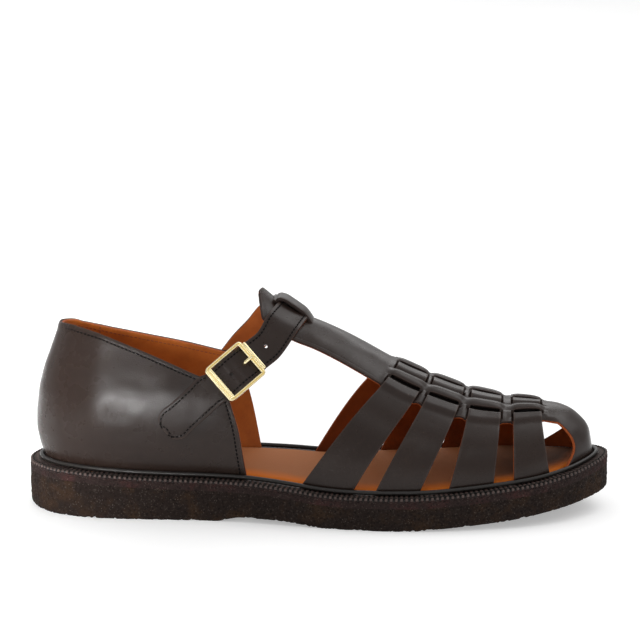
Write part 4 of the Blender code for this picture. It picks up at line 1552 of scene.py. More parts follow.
@dataclass
class Quarter:
    """The closed back of the sandal, round the heel."""

    last: Last
    wall: float = 2.2
    columns: int = 76  # on each side of the heel
    rows: int = 56
    patch_column: int = 40  # where the heel patch ends inside, on the medial side
    patch_rows: int = 22  # how far down its seam runs
    collar: float = 12.0  # how far forward from the heel's back its top is turned over
    sewn: Pair = (8.0, 12.0)  # the heights above the welt where its edges' groove begins and is whole
    seam_inset: float = 2.8
    inside: Triple = (60.0, 0.0, 50.0)
    stitching: Stitching = Stitching()
    lining_stitching: Stitching = Stitching(2.2, 1.3, 0.26)

    def __post_init__(self) -> None:
        """Fits the quarter's curves."""
        self.swell_back = Profile(QUARTER_SWELL, 1)
        self.swell_side = Profile(QUARTER_SWELL, 2)
        self.top = {Side.LATERAL: Profile(TOP_LINE, 1), Side.MEDIAL: Profile(TOP_LINE, 2)}
        self.front = {Side.LATERAL: Profile(FRONT_EDGE, 1), Side.MEDIAL: Profile(FRONT_EDGE, 2)}

    def point(self, side: Side, share: Points, rise: float) -> Points:
        """Places points on the outside.

        Args:
            side: lateral or medial.
            share: 0 at the heel's back to 1 at the front edge.
            rise: 0 at the welt to 1 at the top edge.

        Returns:
            The points.
        """
        front = self.last.angle_at(self.front[side](self.last.welt_top(FRONT_EDGE[0][0])))
        foot = self.last.edge_point(side, share * front, self.last.SEAT_INSET)[0]
        top = self.top[side](self.last.LENGTH / 2 * (1 - np.cos(share * front)))
        floor = self.last.welt_top(foot[:, 0]) + self.last.GAP
        height = floor + rise * (top - floor)
        edge, outward = self.last.edge_point(side, share * self.last.angle_at(self.front[side](height)))
        back = np.maximum(-outward[:, 0], 0.0) ** 2
        swell = back * self.swell_back(height - floor) + (1 - back) * self.swell_side(height - floor)
        return np.column_stack([edge + (swell - self.last.SEAT_INSET)[:, None] * outward, height])

    def beside(self, side: Side, x: float, z: float, lift: float) -> list[float]:
        """The point on the outside, or on its smooth continuation, at x and z near its front."""
        height = z - self.last.welt_top(x) - self.last.GAP
        inset = self.last.SEAT_INSET - float(self.swell_side(height)) - lift
        return [x, float(self.last.edge_y(side, x, inset)), z]

    def points(self) -> Points:
        """The outside as a grid, welt to top edge, lateral front round the heel to medial front."""
        shares = np.linspace(0.0, 1.0, self.columns + 1)
        rows = []
        for rise in np.linspace(0.0, 1.0, self.rows + 1):
            lateral = self.point(Side.LATERAL, shares[::-1], rise)
            rows.append(np.vstack([lateral, self.point(Side.MEDIAL, shares[1:], rise)]))
        return np.array(rows)

    def build(self) -> None:
        """Makes the leather and its stitches."""
        points = self.points()
        piece = grid("heel_quarter", points, inside=self.inside)
        height = points[:, :, 2] - self.last.welt_top(points[:, :, 0])
        collar = smoothstep(self.collar, 0.7 * self.collar, points[:, :, 0])
        keep_numbers(piece, sewn=smoothstep(*self.sewn, height), raw=0.5, collar=collar)
        press(piece, QUARTER_DENTS)
        thicken(piece, self.wall, SHELL, 0.35)
        seat(piece, "upper_leather", "quarter")
        borders = (Border.LAST_ROW, Border.FIRST_COLUMN, Border.LAST_COLUMN)
        seams = [seam_line(points, border, self.seam_inset, self.inside) for border in borders]
        seat(self.stitching.sew("quarter_stitches", seams, DARK_THREAD), "upper_leather")
        column = self.columns + self.patch_column
        beyond = points[-self.patch_rows :, column : column + 3]
        patch = seam_line(beyond, Border.FIRST_COLUMN, 0.0, self.inside)
        within = [(line - normals * self.wall, -normals) for line, normals in (seams[0], patch)]
        seat(self.lining_stitching.sew("quarter_lining_stitches", within, TAN_THREAD), "lining_leather")


@dataclass
class Vamp:
    """The T-bar, the toe cap and the four cross straps woven through slits in the T-bar."""

    last: Last
    wall: float = 1.8
    strap_wall: float = 1.5
    over: float = 1.3  # a strap over the T-bar
    dip: float = 1.0  # the T-bar under a strap
    lip_dip: float = 1.5  # how much deeper its slit's lip lies there
    arch: float = 2.3  # the T-bar over a strap
    arch_low: float = 0.28  # the share of the arch that stays between straps
    crown: float = 0.48  # how much lower its edges are than its middle
    tuck: float = 1.3  # a strap under the T-bar
    slit: float = 0.02  # its width as a share of the T-bar's half width
    short: float = 0.4  # how much narrower a slit is than its strap, at each end
    tip_run: float = 3.8  # how much of the ridge the T-bar's rounded end takes
    tip_share: float = 0.08
    window_round: float = 4.0  # how far its corners' rounding reaches along the toe window's edge
    slit_shadow_reach: float = 0.08  # how far beside the ridges the painted slit shadow reaches, as a share of the T-bar's half width
    arch_run: float = 1.2  # how far past its strap the T-bar's arch ends
    arch_powers: Pair = (3.2, 0.7)  # flat on top over 1, steep at its ends under 1
    low_run: Pair = (3.5, 1.0)  # how far past a strap the low arch ends and is whole
    blend: float = 0.012  # of the ridges into what is beside them
    blend_between: float = 0.16  # how much wider that is between straps
    over_run: Pair = (3.4, -1.4)  # how far outside the T-bar a strap begins to rise and is up
    tuck_run: Pair = (0.18, -0.03)  # beside a ridge, where a strap begins to dip and is down
    tab_raw: Pair = (126.0, 134.0)  # where on the ridge its edge turns pale
    toe_raw: float = 6.0  # how far behind the toe cap its edge is pale through
    sewn: Pair = (188.0, 184.0)  # where on the ridge the groove along its edge ends
    over_lean: float = 40.0  # how far back a line over the T-bar would meet the welt
    side_cells: int = 26
    strap_cells: tuple[int, int, int] = (14, 60, 100)  # across a strap, beside the T-bar and over it
    pitch: float = 1.2
    inside: Triple = (205.0, 0.0, 25.0)

    ZONES = (
        # start, end, zone
        (-1.0, -0.60, Zone.MARGIN),
        (-0.60, -0.27, Zone.RIDGE),
        (-0.27, 0.27, Zone.CENTRE),
        (0.27, 0.60, Zone.RIDGE),
        (0.60, 1.0, Zone.MARGIN),
    )

    def __post_init__(self) -> None:
        """Fits the T-bar's curves."""
        self.centre = Profile(T_BAR, 1)
        self.half = Profile(T_BAR, 2)

    def span(self, section: Section, ridge: float) -> Pair:
        """The T-bar's middle and half width along a line across the last."""
        centre = section.ridge_run + float(self.centre(ridge))
        room = min(centre, float(section.run[-1]) - centre)
        short = max(1.0 - (ridge - CROSSINGS[0][0]) / self.tip_run, 0.0)
        rounded = self.tip_share + (1.0 - self.tip_share) * math.sqrt(1.0 - short**2)
        return centre, min(float(self.half(ridge)), 0.8 * room) * rounded

    def lines(self) -> Points:
        """Spaces the grid's rows, closer where the toe turns down.

        Returns:
            Where each crosses the ridge.
        """
        shares = (0.0, 0.01, 0.04, 0.1, 0.2, 0.36, 0.6, 1.0)
        knots = [CROSSINGS[0][0] + self.tip_run * share for share in shares]
        for back, front in CROSS_STRAPS:
            knots += [back, back + self.short, front - self.short, front]
        knots += [self.toe_start, RIDGE[-1][0] - 0.02]
        places = []
        for start, end in zip(knots, knots[1:]):
            x = np.linspace(start, end, 60)
            run = run_along(np.column_stack([x, self.last.ridge_z(x)]))
            count = max(int(round(run[-1] / self.pitch)), 1)
            places += list(np.interp(np.linspace(0.0, run[-1], count + 1)[:-1], run, x))
        return np.array([*places, knots[-1]])

    @property
    def toe_start(self) -> float:
        """Where the toe cap's first line crosses the ridge."""
        return next(row[0] for row in CROSSINGS if row[3] > 0)

    def shares(self) -> tuple[Points, Points]:
        """Spaces the grid's columns over the T-bar.

        Returns:
            Their shares of its half width, and which cells are slits.
        """
        places, slits = [-1.0], []
        for start, end, zone in self.ZONES:
            count = {Zone.MARGIN: 8, Zone.RIDGE: 8, Zone.CENTRE: 12}[zone]
            inner = start + self.slit / 2 if start > -1 else start
            outer = end - self.slit / 2 if end < 1 else end
            if start > -1:
                places.append(inner)
                slits.append(True)
            places += list(np.linspace(inner, outer, count + 1)[1:])
            slits += [False] * count
        return np.array(places), np.array(slits)

    def bar_relief(self, ridge: float, shares: Points) -> Points:
        """Works out how far the T-bar stands up or down.

        Args:
            ridge: where its line crosses the ridge.
            shares: places on the line, in half widths.

        Returns:
            The relief at each place.
        """
        flat, steep = self.arch_powers
        arch, woven, low_arch, past = 0.0, 0.0, 0.0, math.inf
        for back, front in CROSS_STRAPS:
            half = (front - back) / 2
            beyond = abs(ridge - (back + front) / 2) - half
            share = min((beyond + half) / (half + self.arch_run), 1.0)
            arch = max(arch, (1.0 - share**flat) ** steep)
            woven = max(woven, float(smoothstep(self.arch_run, 0.1, beyond)))
            low_arch = max(low_arch, self.arch_low * float(smoothstep(*self.low_run, beyond)))
            past = min(past, beyond)
        blend = self.blend + self.blend_between * float(smoothstep(-1.6, 1.6, past))
        arch = low_arch + (1.0 - low_arch) * arch
        raised, relief = np.zeros(len(shares)), np.zeros(len(shares))
        for middle, half in self.ridges():
            place = np.clip((shares - middle) / half, -1.0, 1.0)
            here = smoothstep(half + blend, half - blend, np.abs(shares - middle))
            raised = raised + here
            relief = relief + here * self.arch * arch * (1.0 - self.crown * place**2)
        for start, end, zone in self.ZONES:
            here = (shares >= start) & (shares <= end)
            place = (shares - (start + end) / 2) / ((end - start) / 2)
            if zone is not Zone.RIDGE:
                to_slit = np.abs(place) if zone is Zone.CENTRE else -np.sign(start + end) * place
                low = woven * (self.dip + self.lip_dip * smoothstep(0.2, 1.0, to_slit))
                low = low - (1.0 - woven) * self.arch * low_arch * smoothstep(-1.0, 0.3, to_slit)
                relief = np.where(here, relief - low * (1.0 - raised), relief)
        return relief

    def strap_relief(self, shares: Points, beyond: Points) -> Points:
        """How far a strap stands up or down, at shares of the T-bar's half width and so far beyond it."""
        under = self.at_ridges(shares, *self.tuck_run)
        return self.over * smoothstep(*self.over_run, beyond) - (self.over + self.tuck) * under

    def ridges(self) -> list[Pair]:
        """The middle and half width of each ridge, as shares of the T-bar's half width."""
        ridges = [(start, end) for start, end, zone in self.ZONES if zone is Zone.RIDGE]
        return [((start + end) / 2, (end - start) / 2) for start, end in ridges]

    def at_ridges(self, shares: Points, away: float, near: float) -> Points:
        """1 on the ridges up to near beyond their edges and 0 from away, all shares of the half width."""
        beside = [np.abs(shares - middle) - half for middle, half in self.ridges()]
        return sum(smoothstep(away, near, distance) for distance in beside)

    def across(self, section: Section, ridge: float, side: Points, shares: Points) -> tuple[Points, Points]:
        """Distances along a line across the last, from welt to welt.

        Args:
            section: the line.
            ridge: where it crosses the ridge.
            side: places from the welt to the T-bar, as shares of the way.
            shares: places over the T-bar, as shares of its half width.

        Returns:
            The distances, and the same places as shares of the T-bar's half width.
        """
        centre, half = self.span(section, ridge)
        whole = float(section.run[-1])
        far = (whole - centre - half) * side[::-1]
        runs = np.concatenate([(centre - half) * side, centre + half * shares, whole - far])
        return runs, (runs - centre) / half

    def t_bar(self) -> Piece:
        """Makes the T-bar and the toe cap as one sheet, slit for the straps.

        Returns:
            The finished piece.
        """
        places = self.lines()
        shares, slits = self.shares()
        rise = np.linspace(0.0, 1.0, self.side_cells + 1)[:-1]
        rows, relief = [], []
        beside = np.zeros(self.side_cells)
        for ridge in places:
            section = Section(self.last, ridge)
            rows.append(section.at(self.across(section, ridge, rise, shares)[0]))
            relief.append(np.concatenate([beside, self.bar_relief(ridge, shares), beside]))
        piece = grid("t_bar_and_toe_cap", np.array(rows), inside=self.inside)
        raise_by(piece, np.array(relief))
        keep_number(piece, "sewn", np.repeat(smoothstep(*self.sewn, places), len(rows[0])))
        rim = np.concatenate([beside + 1, np.abs(shares) > 0.9, beside + 1])
        bare = np.where(places > self.toe_start - self.toe_raw, 0.9, 0.3 * smoothstep(*self.tab_raw, places))
        keep_number(piece, "raw", np.outer(bare, rim))
        cut_away(piece, self.openings(places, slits))
        self.drop_loose(piece)
        section = Section(self.last, self.toe_start)
        centre, half = self.span(section, self.toe_start)
        for run in (centre - half, centre + half):
            ease_border(piece, section.at(run), self.window_round)
        keep_numbers(piece)
        press(piece, BAR_DENTS)
        thicken(piece, self.wall, WOVEN_SHELL)
        seat(piece, "upper_leather", "vamp")
        return piece

    def openings(self, places: Points, slits: Points) -> Points:
        """Which cells of the T-bar's grid are left out: its sides behind the toe cap, and its slits."""
        before = places[:-1]
        near = 0.01  # less than any cell's length
        beside = np.outer(before < self.toe_start - near, np.ones(self.side_cells, bool))
        woven = np.zeros(len(before), bool)
        for back, front in CROSS_STRAPS:
            woven |= (before > back + self.short - near) & (before < front - self.short - near)
        return np.column_stack([beside, np.outer(woven, slits), beside])

    @staticmethod
    def drop_loose(piece: Piece) -> None:
        """Removes points that no face uses and merges those at the toe's tip."""
        with editing(piece, "VERT"):
            bpy.ops.mesh.select_all(action="SELECT")
            bpy.ops.mesh.remove_doubles(threshold=0.02 * MM)
            bpy.ops.mesh.select_all(action="DESELECT")
            bpy.ops.mesh.select_loose()
            bpy.ops.mesh.delete(type="VERT")

    def cross_strap(self, number: int, back: float, front: float) -> Piece:
        """Makes one strap from welt to welt, over the T-bar's margins and middle and under its ridges.

        Args:
            number: 1 at the instep to 4 at the toe.
            back: where its back edge crosses the ridge.
            front: where its front edge does.

        Returns:
            The finished piece.
        """
        cells, beside, over = self.strap_cells
        side, middle = np.linspace(0.0, 1.0, beside + 1)[:-1], np.linspace(-1.0, 1.0, over + 1)
        rows, relief, outside, soiled = [], [], [], []
        for ridge in np.linspace(back, front, cells + 1):
            section = Section(self.last, ridge)
            runs, shares = self.across(section, ridge, side, middle)
            rows.append(section.at(runs))
            outside.append((np.abs(shares) - 1.0) * self.span(section, ridge)[1])
            relief.append(self.strap_relief(shares, outside[-1]))
            # painted shade on the strap where it dives into the slits under the ridges
            soiled.append(self.at_ridges(shares, self.slit_shadow_reach, 0.01))
        piece = grid(f"cross_strap_{number}", np.array(rows), inside=self.inside)
        raise_by(piece, np.array(relief))
        keep_numbers(piece, raw=0.6 * smoothstep(-1.0, 1.5, np.array(outside)), soiled=np.array(soiled))
        press(piece, STRAP_DENTS[number])
        thicken(piece, self.strap_wall, WOVEN_SHELL, 0.25)
        seat(piece, "upper_leather", "vamp")
        return piece

    def build(self) -> None:
        """Makes the T-bar and weaves the straps."""
        self.t_bar()
        for number, (back, front) in enumerate(CROSS_STRAPS, start=1):
            self.cross_strap(number, back, front)

    def over_bar(self, x: float, round_run: Points, lift: float) -> Points:
        """Points over the T-bar: at x on its ridge, distances round the last from it, lifted clear."""
        section = Section(self.last, x, lift, self.over_lean)
        return section.at(section.ridge_run + round_run)


def smooth_through(rows: Points, count: int) -> Points:
    """More rows through the given ones, each column on a smooth curve spaced by the middle column."""
    run = run_along(rows[:, rows.shape[1] // 2])
    places = np.linspace(0.0, run[-1], count)
    table = np.column_stack([run, rows.reshape(len(rows), -1)])
    curves = [Profile(table, column)(places) for column in range(1, table.shape[1])]
    return np.stack(curves, axis=-1).reshape(count, *rows.shape[1:])


def spread_across(rows: Points, count: int) -> Points:
    """Three points a row as count points on the curve through them."""
    t = np.linspace(-1.0, 1.0, count)[None, :, None]
    low, middle, high = rows[:, :1], rows[:, 1:2], rows[:, 2:3]
    return middle + t * (high - low) / 2 + t * t * ((high + low) / 2 - middle)


@dataclass
class Buckle:
    """The square brass buckle, and the place and directions of the strap through it."""

    centre: Triple = (109.4, -32.3, 77.4)
    along: Triple = (0.744, 0.295, 0.601)
    across: Triple = (0.667, -0.249, -0.704)
    half_length: float = 10.5
    shift: float = 0.35  # how far the frame's middle lies along the strap
    half_width: float = 10.0
    corner: float = 1.1
    bar_depth: float = -4.0
    bar_radius: float = 0.8
    prong_radius: float = 0.9
    prong_across: float = -0.1
    side_share: float = 0.75
    end_shares: Pair = (1.5, 0.9)  # of the section's width, at the centre bar and the roller
    corner_steps: int = 6
    rod_sides: int = 12
    roller_radius: float = 0.95
    roller_half: float = 8.6
    roller_along: float = 12.65
    roller_out: float = 0.1
    bar_bend: float = 1.2

    SECTION: Table = (
        # outward, up
        (-1.2, -1.0),
        (-1.3, -0.85),
        (-1.3, 0.55),
        (-1.15, 0.95),
        (-0.75, 1.1),
        (-0.35, 0.95),
        (-0.16, 0.3),
        (0.16, 0.3),
        (0.35, 0.95),
        (0.75, 1.1),
        (1.15, 0.95),
        (1.3, 0.5),
        (1.3, -0.85),
        (1.2, -1.0),
    )
    PRONG: Table = (
        # along, out
        (2.0, -2.45),
        (3.8, -2.6),
        (5.2, -2.2),
        (5.8, -0.9),
        (6.2, 0.7),
        (7.1, 1.85),
        (8.6, 2.25),
        (11.4, 2.3),
    )
    ROD_END: Table = (
        # radius and distance from the end, as shares of the rod's radius
        (0.02, 0.0),
        (0.7, 0.12),
        (1.0, 0.4),
    )

    def __post_init__(self) -> None:
        """Works out the buckle's three directions."""
        along = Vector(self.along).normalized()
        across = Vector(self.across).normalized()
        self.axes = np.array([across, along, across.cross(along).normalized()])

    def at(self, along: Numbers, across: Numbers, out: Numbers) -> Points:
        """Points given in the buckle's own directions."""
        local = np.stack(np.broadcast_arrays(across, along, out), axis=-1).astype(float)
        return np.array(self.centre) + local @ self.axes

    def outline(self) -> list[tuple[Vector, Vector]]:
        """Walks round the frame's middle line.

        Returns:
            Its points, each with its outward direction.
        """
        path = []
        for turn, (sx, sy) in enumerate(((1, 1), (-1, 1), (-1, -1), (1, -1))):
            corner = Vector((sx * (self.half_width - self.corner), sy * (self.half_length - self.corner)))
            for step in range(self.corner_steps + 1):
                angle = math.pi / 2 * (turn + step / self.corner_steps)
                outward = Vector((math.cos(angle), math.sin(angle)))
                path.append((corner + self.corner * outward, outward))
        return path

    def frame(self) -> Piece:
        """Makes the square frame, with two raised lines round its face.

        Returns:
            The finished piece.
        """
        rows = []
        for place, outward in self.outline():
            end_share = self.end_shares[0] if outward.y < 0 else self.end_shares[1]
            row = []
            for out, up in (*self.SECTION, self.SECTION[0]):
                x, y = place.x + self.side_share * out * outward.x, place.y + end_share * out * outward.y
                row.append(self.at(y + self.shift, x, up))
            rows.append(row)
        rows.append(rows[0])
        piece = grid("brass_frame", np.array(rows), closed=True)
        piece.data.materials.append(BRASS.make())
        apply(piece, "SUBSURF", levels=1, render_levels=1)
        smooth(piece, 50)
        seat(piece, "brass", "buckle_frame")
        return piece

    def rod(self, name: str, path: Points, radius: float) -> Piece:
        """Makes a round bar with rounded ends.

        Args:
            name: the piece's name.
            path: the bar's middle line.
            radius: of the bar.

        Returns:
            The bar, not seated yet.
        """
        tangent = np.gradient(path, axis=0)
        tangent /= np.linalg.norm(tangent, axis=1, keepdims=True)
        rows = []
        side = np.cross(tangent[0], self.axes[0] + 0.01)
        for index, (place, ahead) in enumerate(zip(path, tangent)):
            side = side - ahead * float(side @ ahead)
            side /= np.linalg.norm(side)
            other = np.cross(ahead, side)
            turn = np.linspace(0.0, 2 * math.pi, self.rod_sides + 1)[:, None]
            ring = np.cos(turn) * side + np.sin(turn) * other
            profile = {0: self.ROD_END, len(path) - 1: self.ROD_END[::-1]}.get(index, ((1.0, 0.0),))
            inward = ahead if index == 0 else -ahead
            rows += [place + radius * (share * ring + along * inward) for share, along in profile]
        piece = grid(name, np.array(rows), closed=True)
        with editing(piece, "VERT"):
            bpy.ops.mesh.select_non_manifold()
            bpy.ops.mesh.fill_holes(sides=0)
            bpy.ops.mesh.select_all(action="SELECT")
            bpy.ops.mesh.normals_make_consistent(inside=False)
        piece.data.materials.append(BRASS.make())
        smooth(piece, 60)
        return piece

    def bar_and_prong(self) -> None:
        """The bar behind the strap, and the prong turned round it."""
        bend = self.bar_bend
        reach = self.half_width
        legs = [
            (reach, -0.4),
            (reach, self.bar_depth + bend),
            (reach - 0.35 * bend, self.bar_depth + 0.3 * bend),
            (reach - bend, self.bar_depth),
        ]
        line = legs + [(-x, z) for x, z in reversed(legs)]
        bar = self.rod("centre_bar", np.array([self.at(0.0, x, z) for x, z in line]), self.bar_radius)
        seat(bar, "brass")
        line = (*self.round_bar(self.prong_radius, range(390, 89, -15)), *self.PRONG)
        rows = np.array([[self.at(along, self.prong_across, out)] for along, out in line])
        prong = self.rod("brass_prong", smooth_through(rows, 80)[:, 0], self.prong_radius)
        seat(prong, "brass", "buckle_prong")

    def round_bar(self, half: float, degrees: Sequence[int]) -> Table:
        """Places along and out, round the centre bar, for the middle of something this thick."""
        radius = self.bar_radius + Last.GAP + half
        turn = [math.radians(angle) for angle in degrees]
        return tuple((radius * math.cos(a), self.bar_depth + radius * math.sin(a)) for a in turn)

    def roller(self) -> None:
        """The sleeve outside the frame's upper bar."""
        across = np.linspace(-self.roller_half, self.roller_half, 6)
        path = self.at(self.roller_along, across, self.roller_out)
        sleeve = self.rod("brass_roller", path, self.roller_radius)
        seat(sleeve, "brass")

    def build(self) -> None:
        """Makes the metal."""
        self.frame()
        self.roller()
        self.bar_and_prong()


@dataclass
class Straps:
    """The instep strap, the short buckle strap and the keeper on the T-bar."""

    last: Last
    quarter: Quarter
    vamp: Vamp
    buckle: Buckle
    wall: float = 2.0
    half_width: float = 8.5
    buckle_strap_wall: float = 1.5
    buckle_strap_half: float = 8.5
    keeper_wall: float = 1.6
    holes: Triple = (-2.4, 6.2, 20.6)  # along the buckle, the prong through the middle one
    hole_radius: float = 0.9
    slant_over: float = 0.88  # of its rows over the instep, as a share of its half width
    slant_down: float = 0.7  # and down the medial side
    sewn_end: Pair = (73.4, 46.1)  # x and z of the buckle strap's end on the quarter
    sewn_run: Pair = (0.745, 0.669)
    sewn_across: Pair = (0.668, -0.744)
    sewn_rows: int = 52  # how many of its rows, from that end, have stitches beside them
    fold_end: float = -3.0  # where its fold round the centre bar ends, along the buckle
    keeper_span: Pair = (-8.0, 10.0)  # round the last, from the ridge
    instep_inside: Triple = (118.0, 4.0, 60.0)
    buckle_inside: Triple = (95.0, 0.0, 60.0)
    keeper_inside: Triple = (138.0, 5.0, 60.0)
    points_across: int = 13
    seam_insets: Pair = (1.9, 1.8)  # of the instep strap and the buckle strap
    stitching: Stitching = Stitching(2.1, 1.1, 0.34)

    SEWN = (Border.FIRST_COLUMN, Border.LAST_COLUMN, Border.FIRST_ROW)

    def instep_points(self) -> Points:
        """Lays the instep strap through the buckle, over the instep and down the medial side.

        Returns:
            The points of its middle layer.
        """
        reach = self.half_width
        rows = []
        for along, out, half in BUCKLE_PASS:
            rows.append([self.buckle.at(along, across, out) for across in (-half, 0.0, half)])
        for x, round_run, rise in INSTEP_PASS:
            shift = self.slant_over * reach
            rows.append([self.vamp.over_bar(x + s, round_run, rise) for s in (-shift, 0.0, shift)])
        lift = 2 * self.last.GAP + self.wall / 2
        for x, z in MEDIAL_PASS:
            shift = self.slant_down * reach
            rows.append([self.quarter.beside(Side.MEDIAL, x + s, z - s, lift) for s in (-shift, 0.0, shift)])
        return spread_across(smooth_through(np.array(rows, float), 130), self.points_across)

    def instep_strap(self) -> None:
        """The strap, its holes and its edge stitches."""
        points = self.instep_points()
        piece = grid("instep_buckle_strap", points, inside=self.instep_inside)
        raise_by(piece, np.full(points.shape[:2], self.wall / 2))
        keep_numbers(piece, sewn=1.0, raw=0.35)
        thicken(piece, self.wall, (UPPER, BACK_LINING, EDGE))
        for along in self.holes:
            self.punch(piece, along)
        smooth(piece)
        seat(piece, "upper_leather", "instep_strap")
        seams = self.seams(points, self.seam_insets[0], self.wall, self.instep_inside)
        seat(self.stitching.sew("instep_strap_stitches", seams, DARK_THREAD), "upper_leather")

    def seams(self, points: Points, inset: float, wall: float, inside: Triple) -> list[Seam]:
        """Seams on the outside of a strap, so far in along its sides and its first end."""
        lines = [seam_line(points, border, inset, inside) for border in self.SEWN]
        return [(line + normals * wall / 2, normals) for line, normals in lines]

    def punch(self, piece: Piece, along: float) -> None:
        """Cuts one round hole through a strap.

        Args:
            piece: the strap.
            along: where along it.
        """
        out = float(np.interp(along, [row[0] for row in BUCKLE_PASS], [row[1] for row in BUCKLE_PASS]))
        place = into_frame(self.buckle.at(along, self.buckle.prong_across, out))
        deselect()
        bpy.ops.mesh.primitive_cylinder_add(vertices=20, radius=self.hole_radius * MM, depth=8 * MM)
        cutter = bpy.context.active_object
        turn = Vector(self.buckle.axes[2]).to_track_quat("Z", "Y").to_matrix().to_4x4()
        cutter.data.transform(Matrix.Translation(place) @ turn)
        apply(piece, "BOOLEAN", object=cutter, operation="DIFFERENCE", solver="EXACT")
        bpy.data.objects.remove(cutter)

    def buckle_strap_points(self) -> Points:
        """Lays the buckle strap from its sewn end to its turn round the centre bar.

        Returns:
            The points of its middle layer.
        """
        half = self.buckle_strap_wall / 2
        lift = 2 * self.last.GAP + half
        share = np.linspace(-1.0, 1.0, self.points_across)
        start, run, over = (np.array(pair) for pair in (self.sewn_end, self.sewn_run, self.sewn_across))
        rows = []
        for distance, width in BUCKLE_STRAP_END:
            places = [start + distance * run + across * over for across in width * share]
            rows.append([self.quarter.beside(Side.LATERAL, x, z, lift) for x, z in places])
        for along, out in FREE_PASS:
            rows.append(self.buckle.at(along, self.buckle_strap_half * share, out))
        fold = self.buckle.round_bar(half, range(90, -91, -15))
        ends = (*fold, (self.fold_end, fold[-1][1]))
        turned = [self.buckle.at(along, self.buckle_strap_half * share, out) for along, out in ends]
        return np.vstack([smooth_through(np.array([*rows, turned[0]], float), 60), np.array(turned[1:])])

    def buckle_strap(self) -> None:
        """The short strap sewn on the lateral quarter."""
        points = self.buckle_strap_points()
        piece = grid("sewn_buckle_strap", points, inside=self.buckle_inside)
        raise_by(piece, np.full(points.shape[:2], self.buckle_strap_wall / 2))
        keep_numbers(piece, sewn=1.0)
        thicken(piece, self.buckle_strap_wall, SHELL)
        seat(piece, "upper_leather", "buckle_strap")
        sewn = points[: self.sewn_rows]
        seams = self.seams(sewn, self.seam_insets[1], self.buckle_strap_wall, self.buckle_inside)
        seat(self.stitching.sew("buckle_strap_stitches", seams, DARK_THREAD), "upper_leather")

    def keeper(self) -> None:
        """The loop on the T-bar that the instep strap passes under."""
        round_run = np.linspace(*self.keeper_span, 15)
        rows = np.array([self.vamp.over_bar(x, round_run, rise) for x, rise in KEEPER_PASS])
        points = smooth_through(rows, 48)
        piece = grid("strap_keeper", points, inside=self.keeper_inside)
        raise_by(piece, np.full(points.shape[:2], self.keeper_wall))
        keep_numbers(piece)
        thicken(piece, self.keeper_wall, (UPPER, UPPER, EDGE))
        seat(piece, "upper_leather", "strap_loop")

    def build(self) -> None:
        """Makes the three straps."""
        self.instep_strap()
        self.buckle_strap()
        self.keeper()


# ---- the studio


@dataclass(frozen=True)
class Softbox:
    """A soft light: its place and size in metres, its brightness, its spread in degrees and its aim."""

    name: str
    place: Triple
    width: float
    height: float
    brightness: float
    spread: float = 180.0
    aim: Triple = (0.0, 0.0, 0.1)


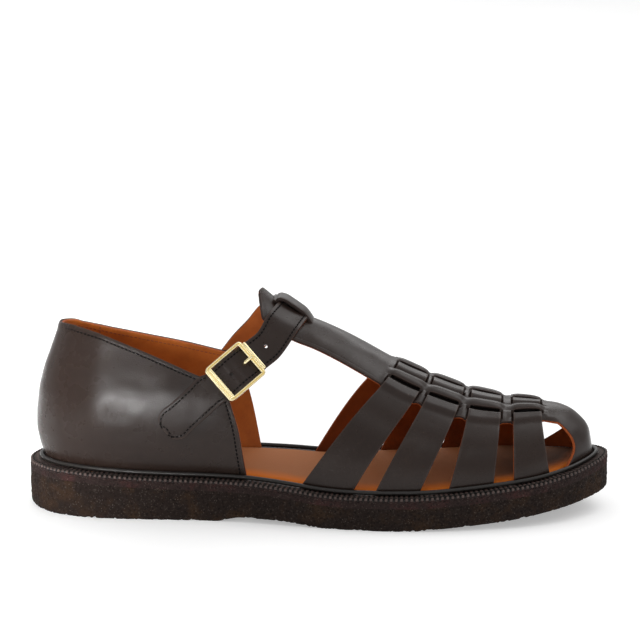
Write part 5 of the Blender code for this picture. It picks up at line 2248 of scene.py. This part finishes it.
@dataclass
class Studio:
    """A pale floor, soft light and the camera."""

    LIGHTS = (
        Softbox("overhead", (0.0, 0.5, 2.6), 3.5, 3.5, 0.45),
        Softbox("front_left", (-0.36, -1.36, 0.30), 0.14, 0.5, 13.0, 23.0, (-0.35, -0.04, 0.10)),
        Softbox("front_fill", (0.35, -1.5, 1.3), 1.0, 0.5, 0.7),
        Softbox("toe_side", (1.3, 0.3, 1.0), 0.8, 0.8, 1.4),
        Softbox("toe_top", (0.9, 0.6, 1.5), 0.9, 0.7, 1.9),
        Softbox("back_low", (0.0, 1.5, 0.9), 1.4, 0.6, 1.5),
        Softbox("heel_side", (-1.5, 0.5, 0.5), 0.4, 0.8, 0.2),
    )

    target: Triple = (0.001, 0.0015, 0.09725)
    elevation: float = 13.0
    yaw: float = 2.5
    distance: float = 1.7
    lens: float = 185.75
    table_glow: float = 0.36
    surroundings: float = 0.58

    def floor(self) -> None:
        """A wide pale table that glows a little, so that shadows on it stay faint."""
        deselect()
        bpy.ops.mesh.primitive_plane_add(size=12.0, location=(0, 0, 0))
        floor = bpy.context.active_object
        floor.name = "studio_floor"
        paper = bpy.data.materials.new("pale_paper")
        graph = Graph(paper)
        graph.shade({"Base Color": (0.8, 0.8, 0.8), "Roughness": 0.9, "Specular IOR Level": 0.0})
        graph.shade({"Emission Color": (1.0, 1.0, 1.0), "Emission Strength": self.table_glow})
        floor.data.materials.append(paper)

    def light(self, box: Softbox) -> None:
        """Adds one soft light that faces the shoe.

        Args:
            box: its place, size and strength.
        """
        lamp = bpy.data.lights.new(box.name, "AREA")
        lamp.shape = "RECTANGLE"
        lamp.size, lamp.size_y = box.width, box.height
        lamp.energy = box.brightness * math.pi * box.width * box.height
        lamp.spread = math.radians(box.spread)
        holder = bpy.data.objects.new(box.name, lamp)
        holder.location = box.place
        holder.rotation_euler = (Vector(box.aim) - Vector(box.place)).to_track_quat("-Z", "Y").to_euler()
        holder.visible_camera = False
        bpy.context.scene.collection.objects.link(holder)

    def camera(self) -> None:
        """The camera, low and level with the sandal's lateral side."""
        rise, turn = math.radians(self.elevation), math.radians(self.yaw)
        back = Vector((math.sin(turn) * math.cos(rise), -math.cos(turn) * math.cos(rise), math.sin(rise)))
        lens = bpy.data.cameras.new("camera")
        lens.lens, lens.sensor_width = self.lens, 36.0
        holder = bpy.data.objects.new("camera", lens)
        holder.location = Vector(self.target) + self.distance * back
        holder.rotation_euler = back.to_track_quat("Z", "Y").to_euler()
        bpy.context.scene.collection.objects.link(holder)
        bpy.context.scene.camera = holder

    def build(self) -> None:
        """Sets the stage."""
        self.camera()
        self.floor()
        for box in self.LIGHTS:
            self.light(box)
        world = bpy.data.worlds.new("studio")
        world.use_nodes = True
        background = world.node_tree.nodes["Background"]
        background.inputs["Color"].default_value = (1.0, 1.0, 1.0, 1.0)
        background.inputs["Strength"].default_value = self.surroundings
        bpy.context.scene.world = world
        bpy.context.scene.view_settings.view_transform = "Standard"


def main() -> None:
    """Builds the studio and the sandal, floor to buckle."""
    logging.basicConfig(level=logging.INFO, format="%(message)s")
    Studio().build()
    Sole(LAST).build()
    quarter, vamp, buckle = Quarter(LAST), Vamp(LAST), Buckle()
    quarter.build()
    vamp.build()
    buckle.build()
    Straps(LAST, quarter, vamp, buckle).build()


if __name__ == "__main__":
    main()
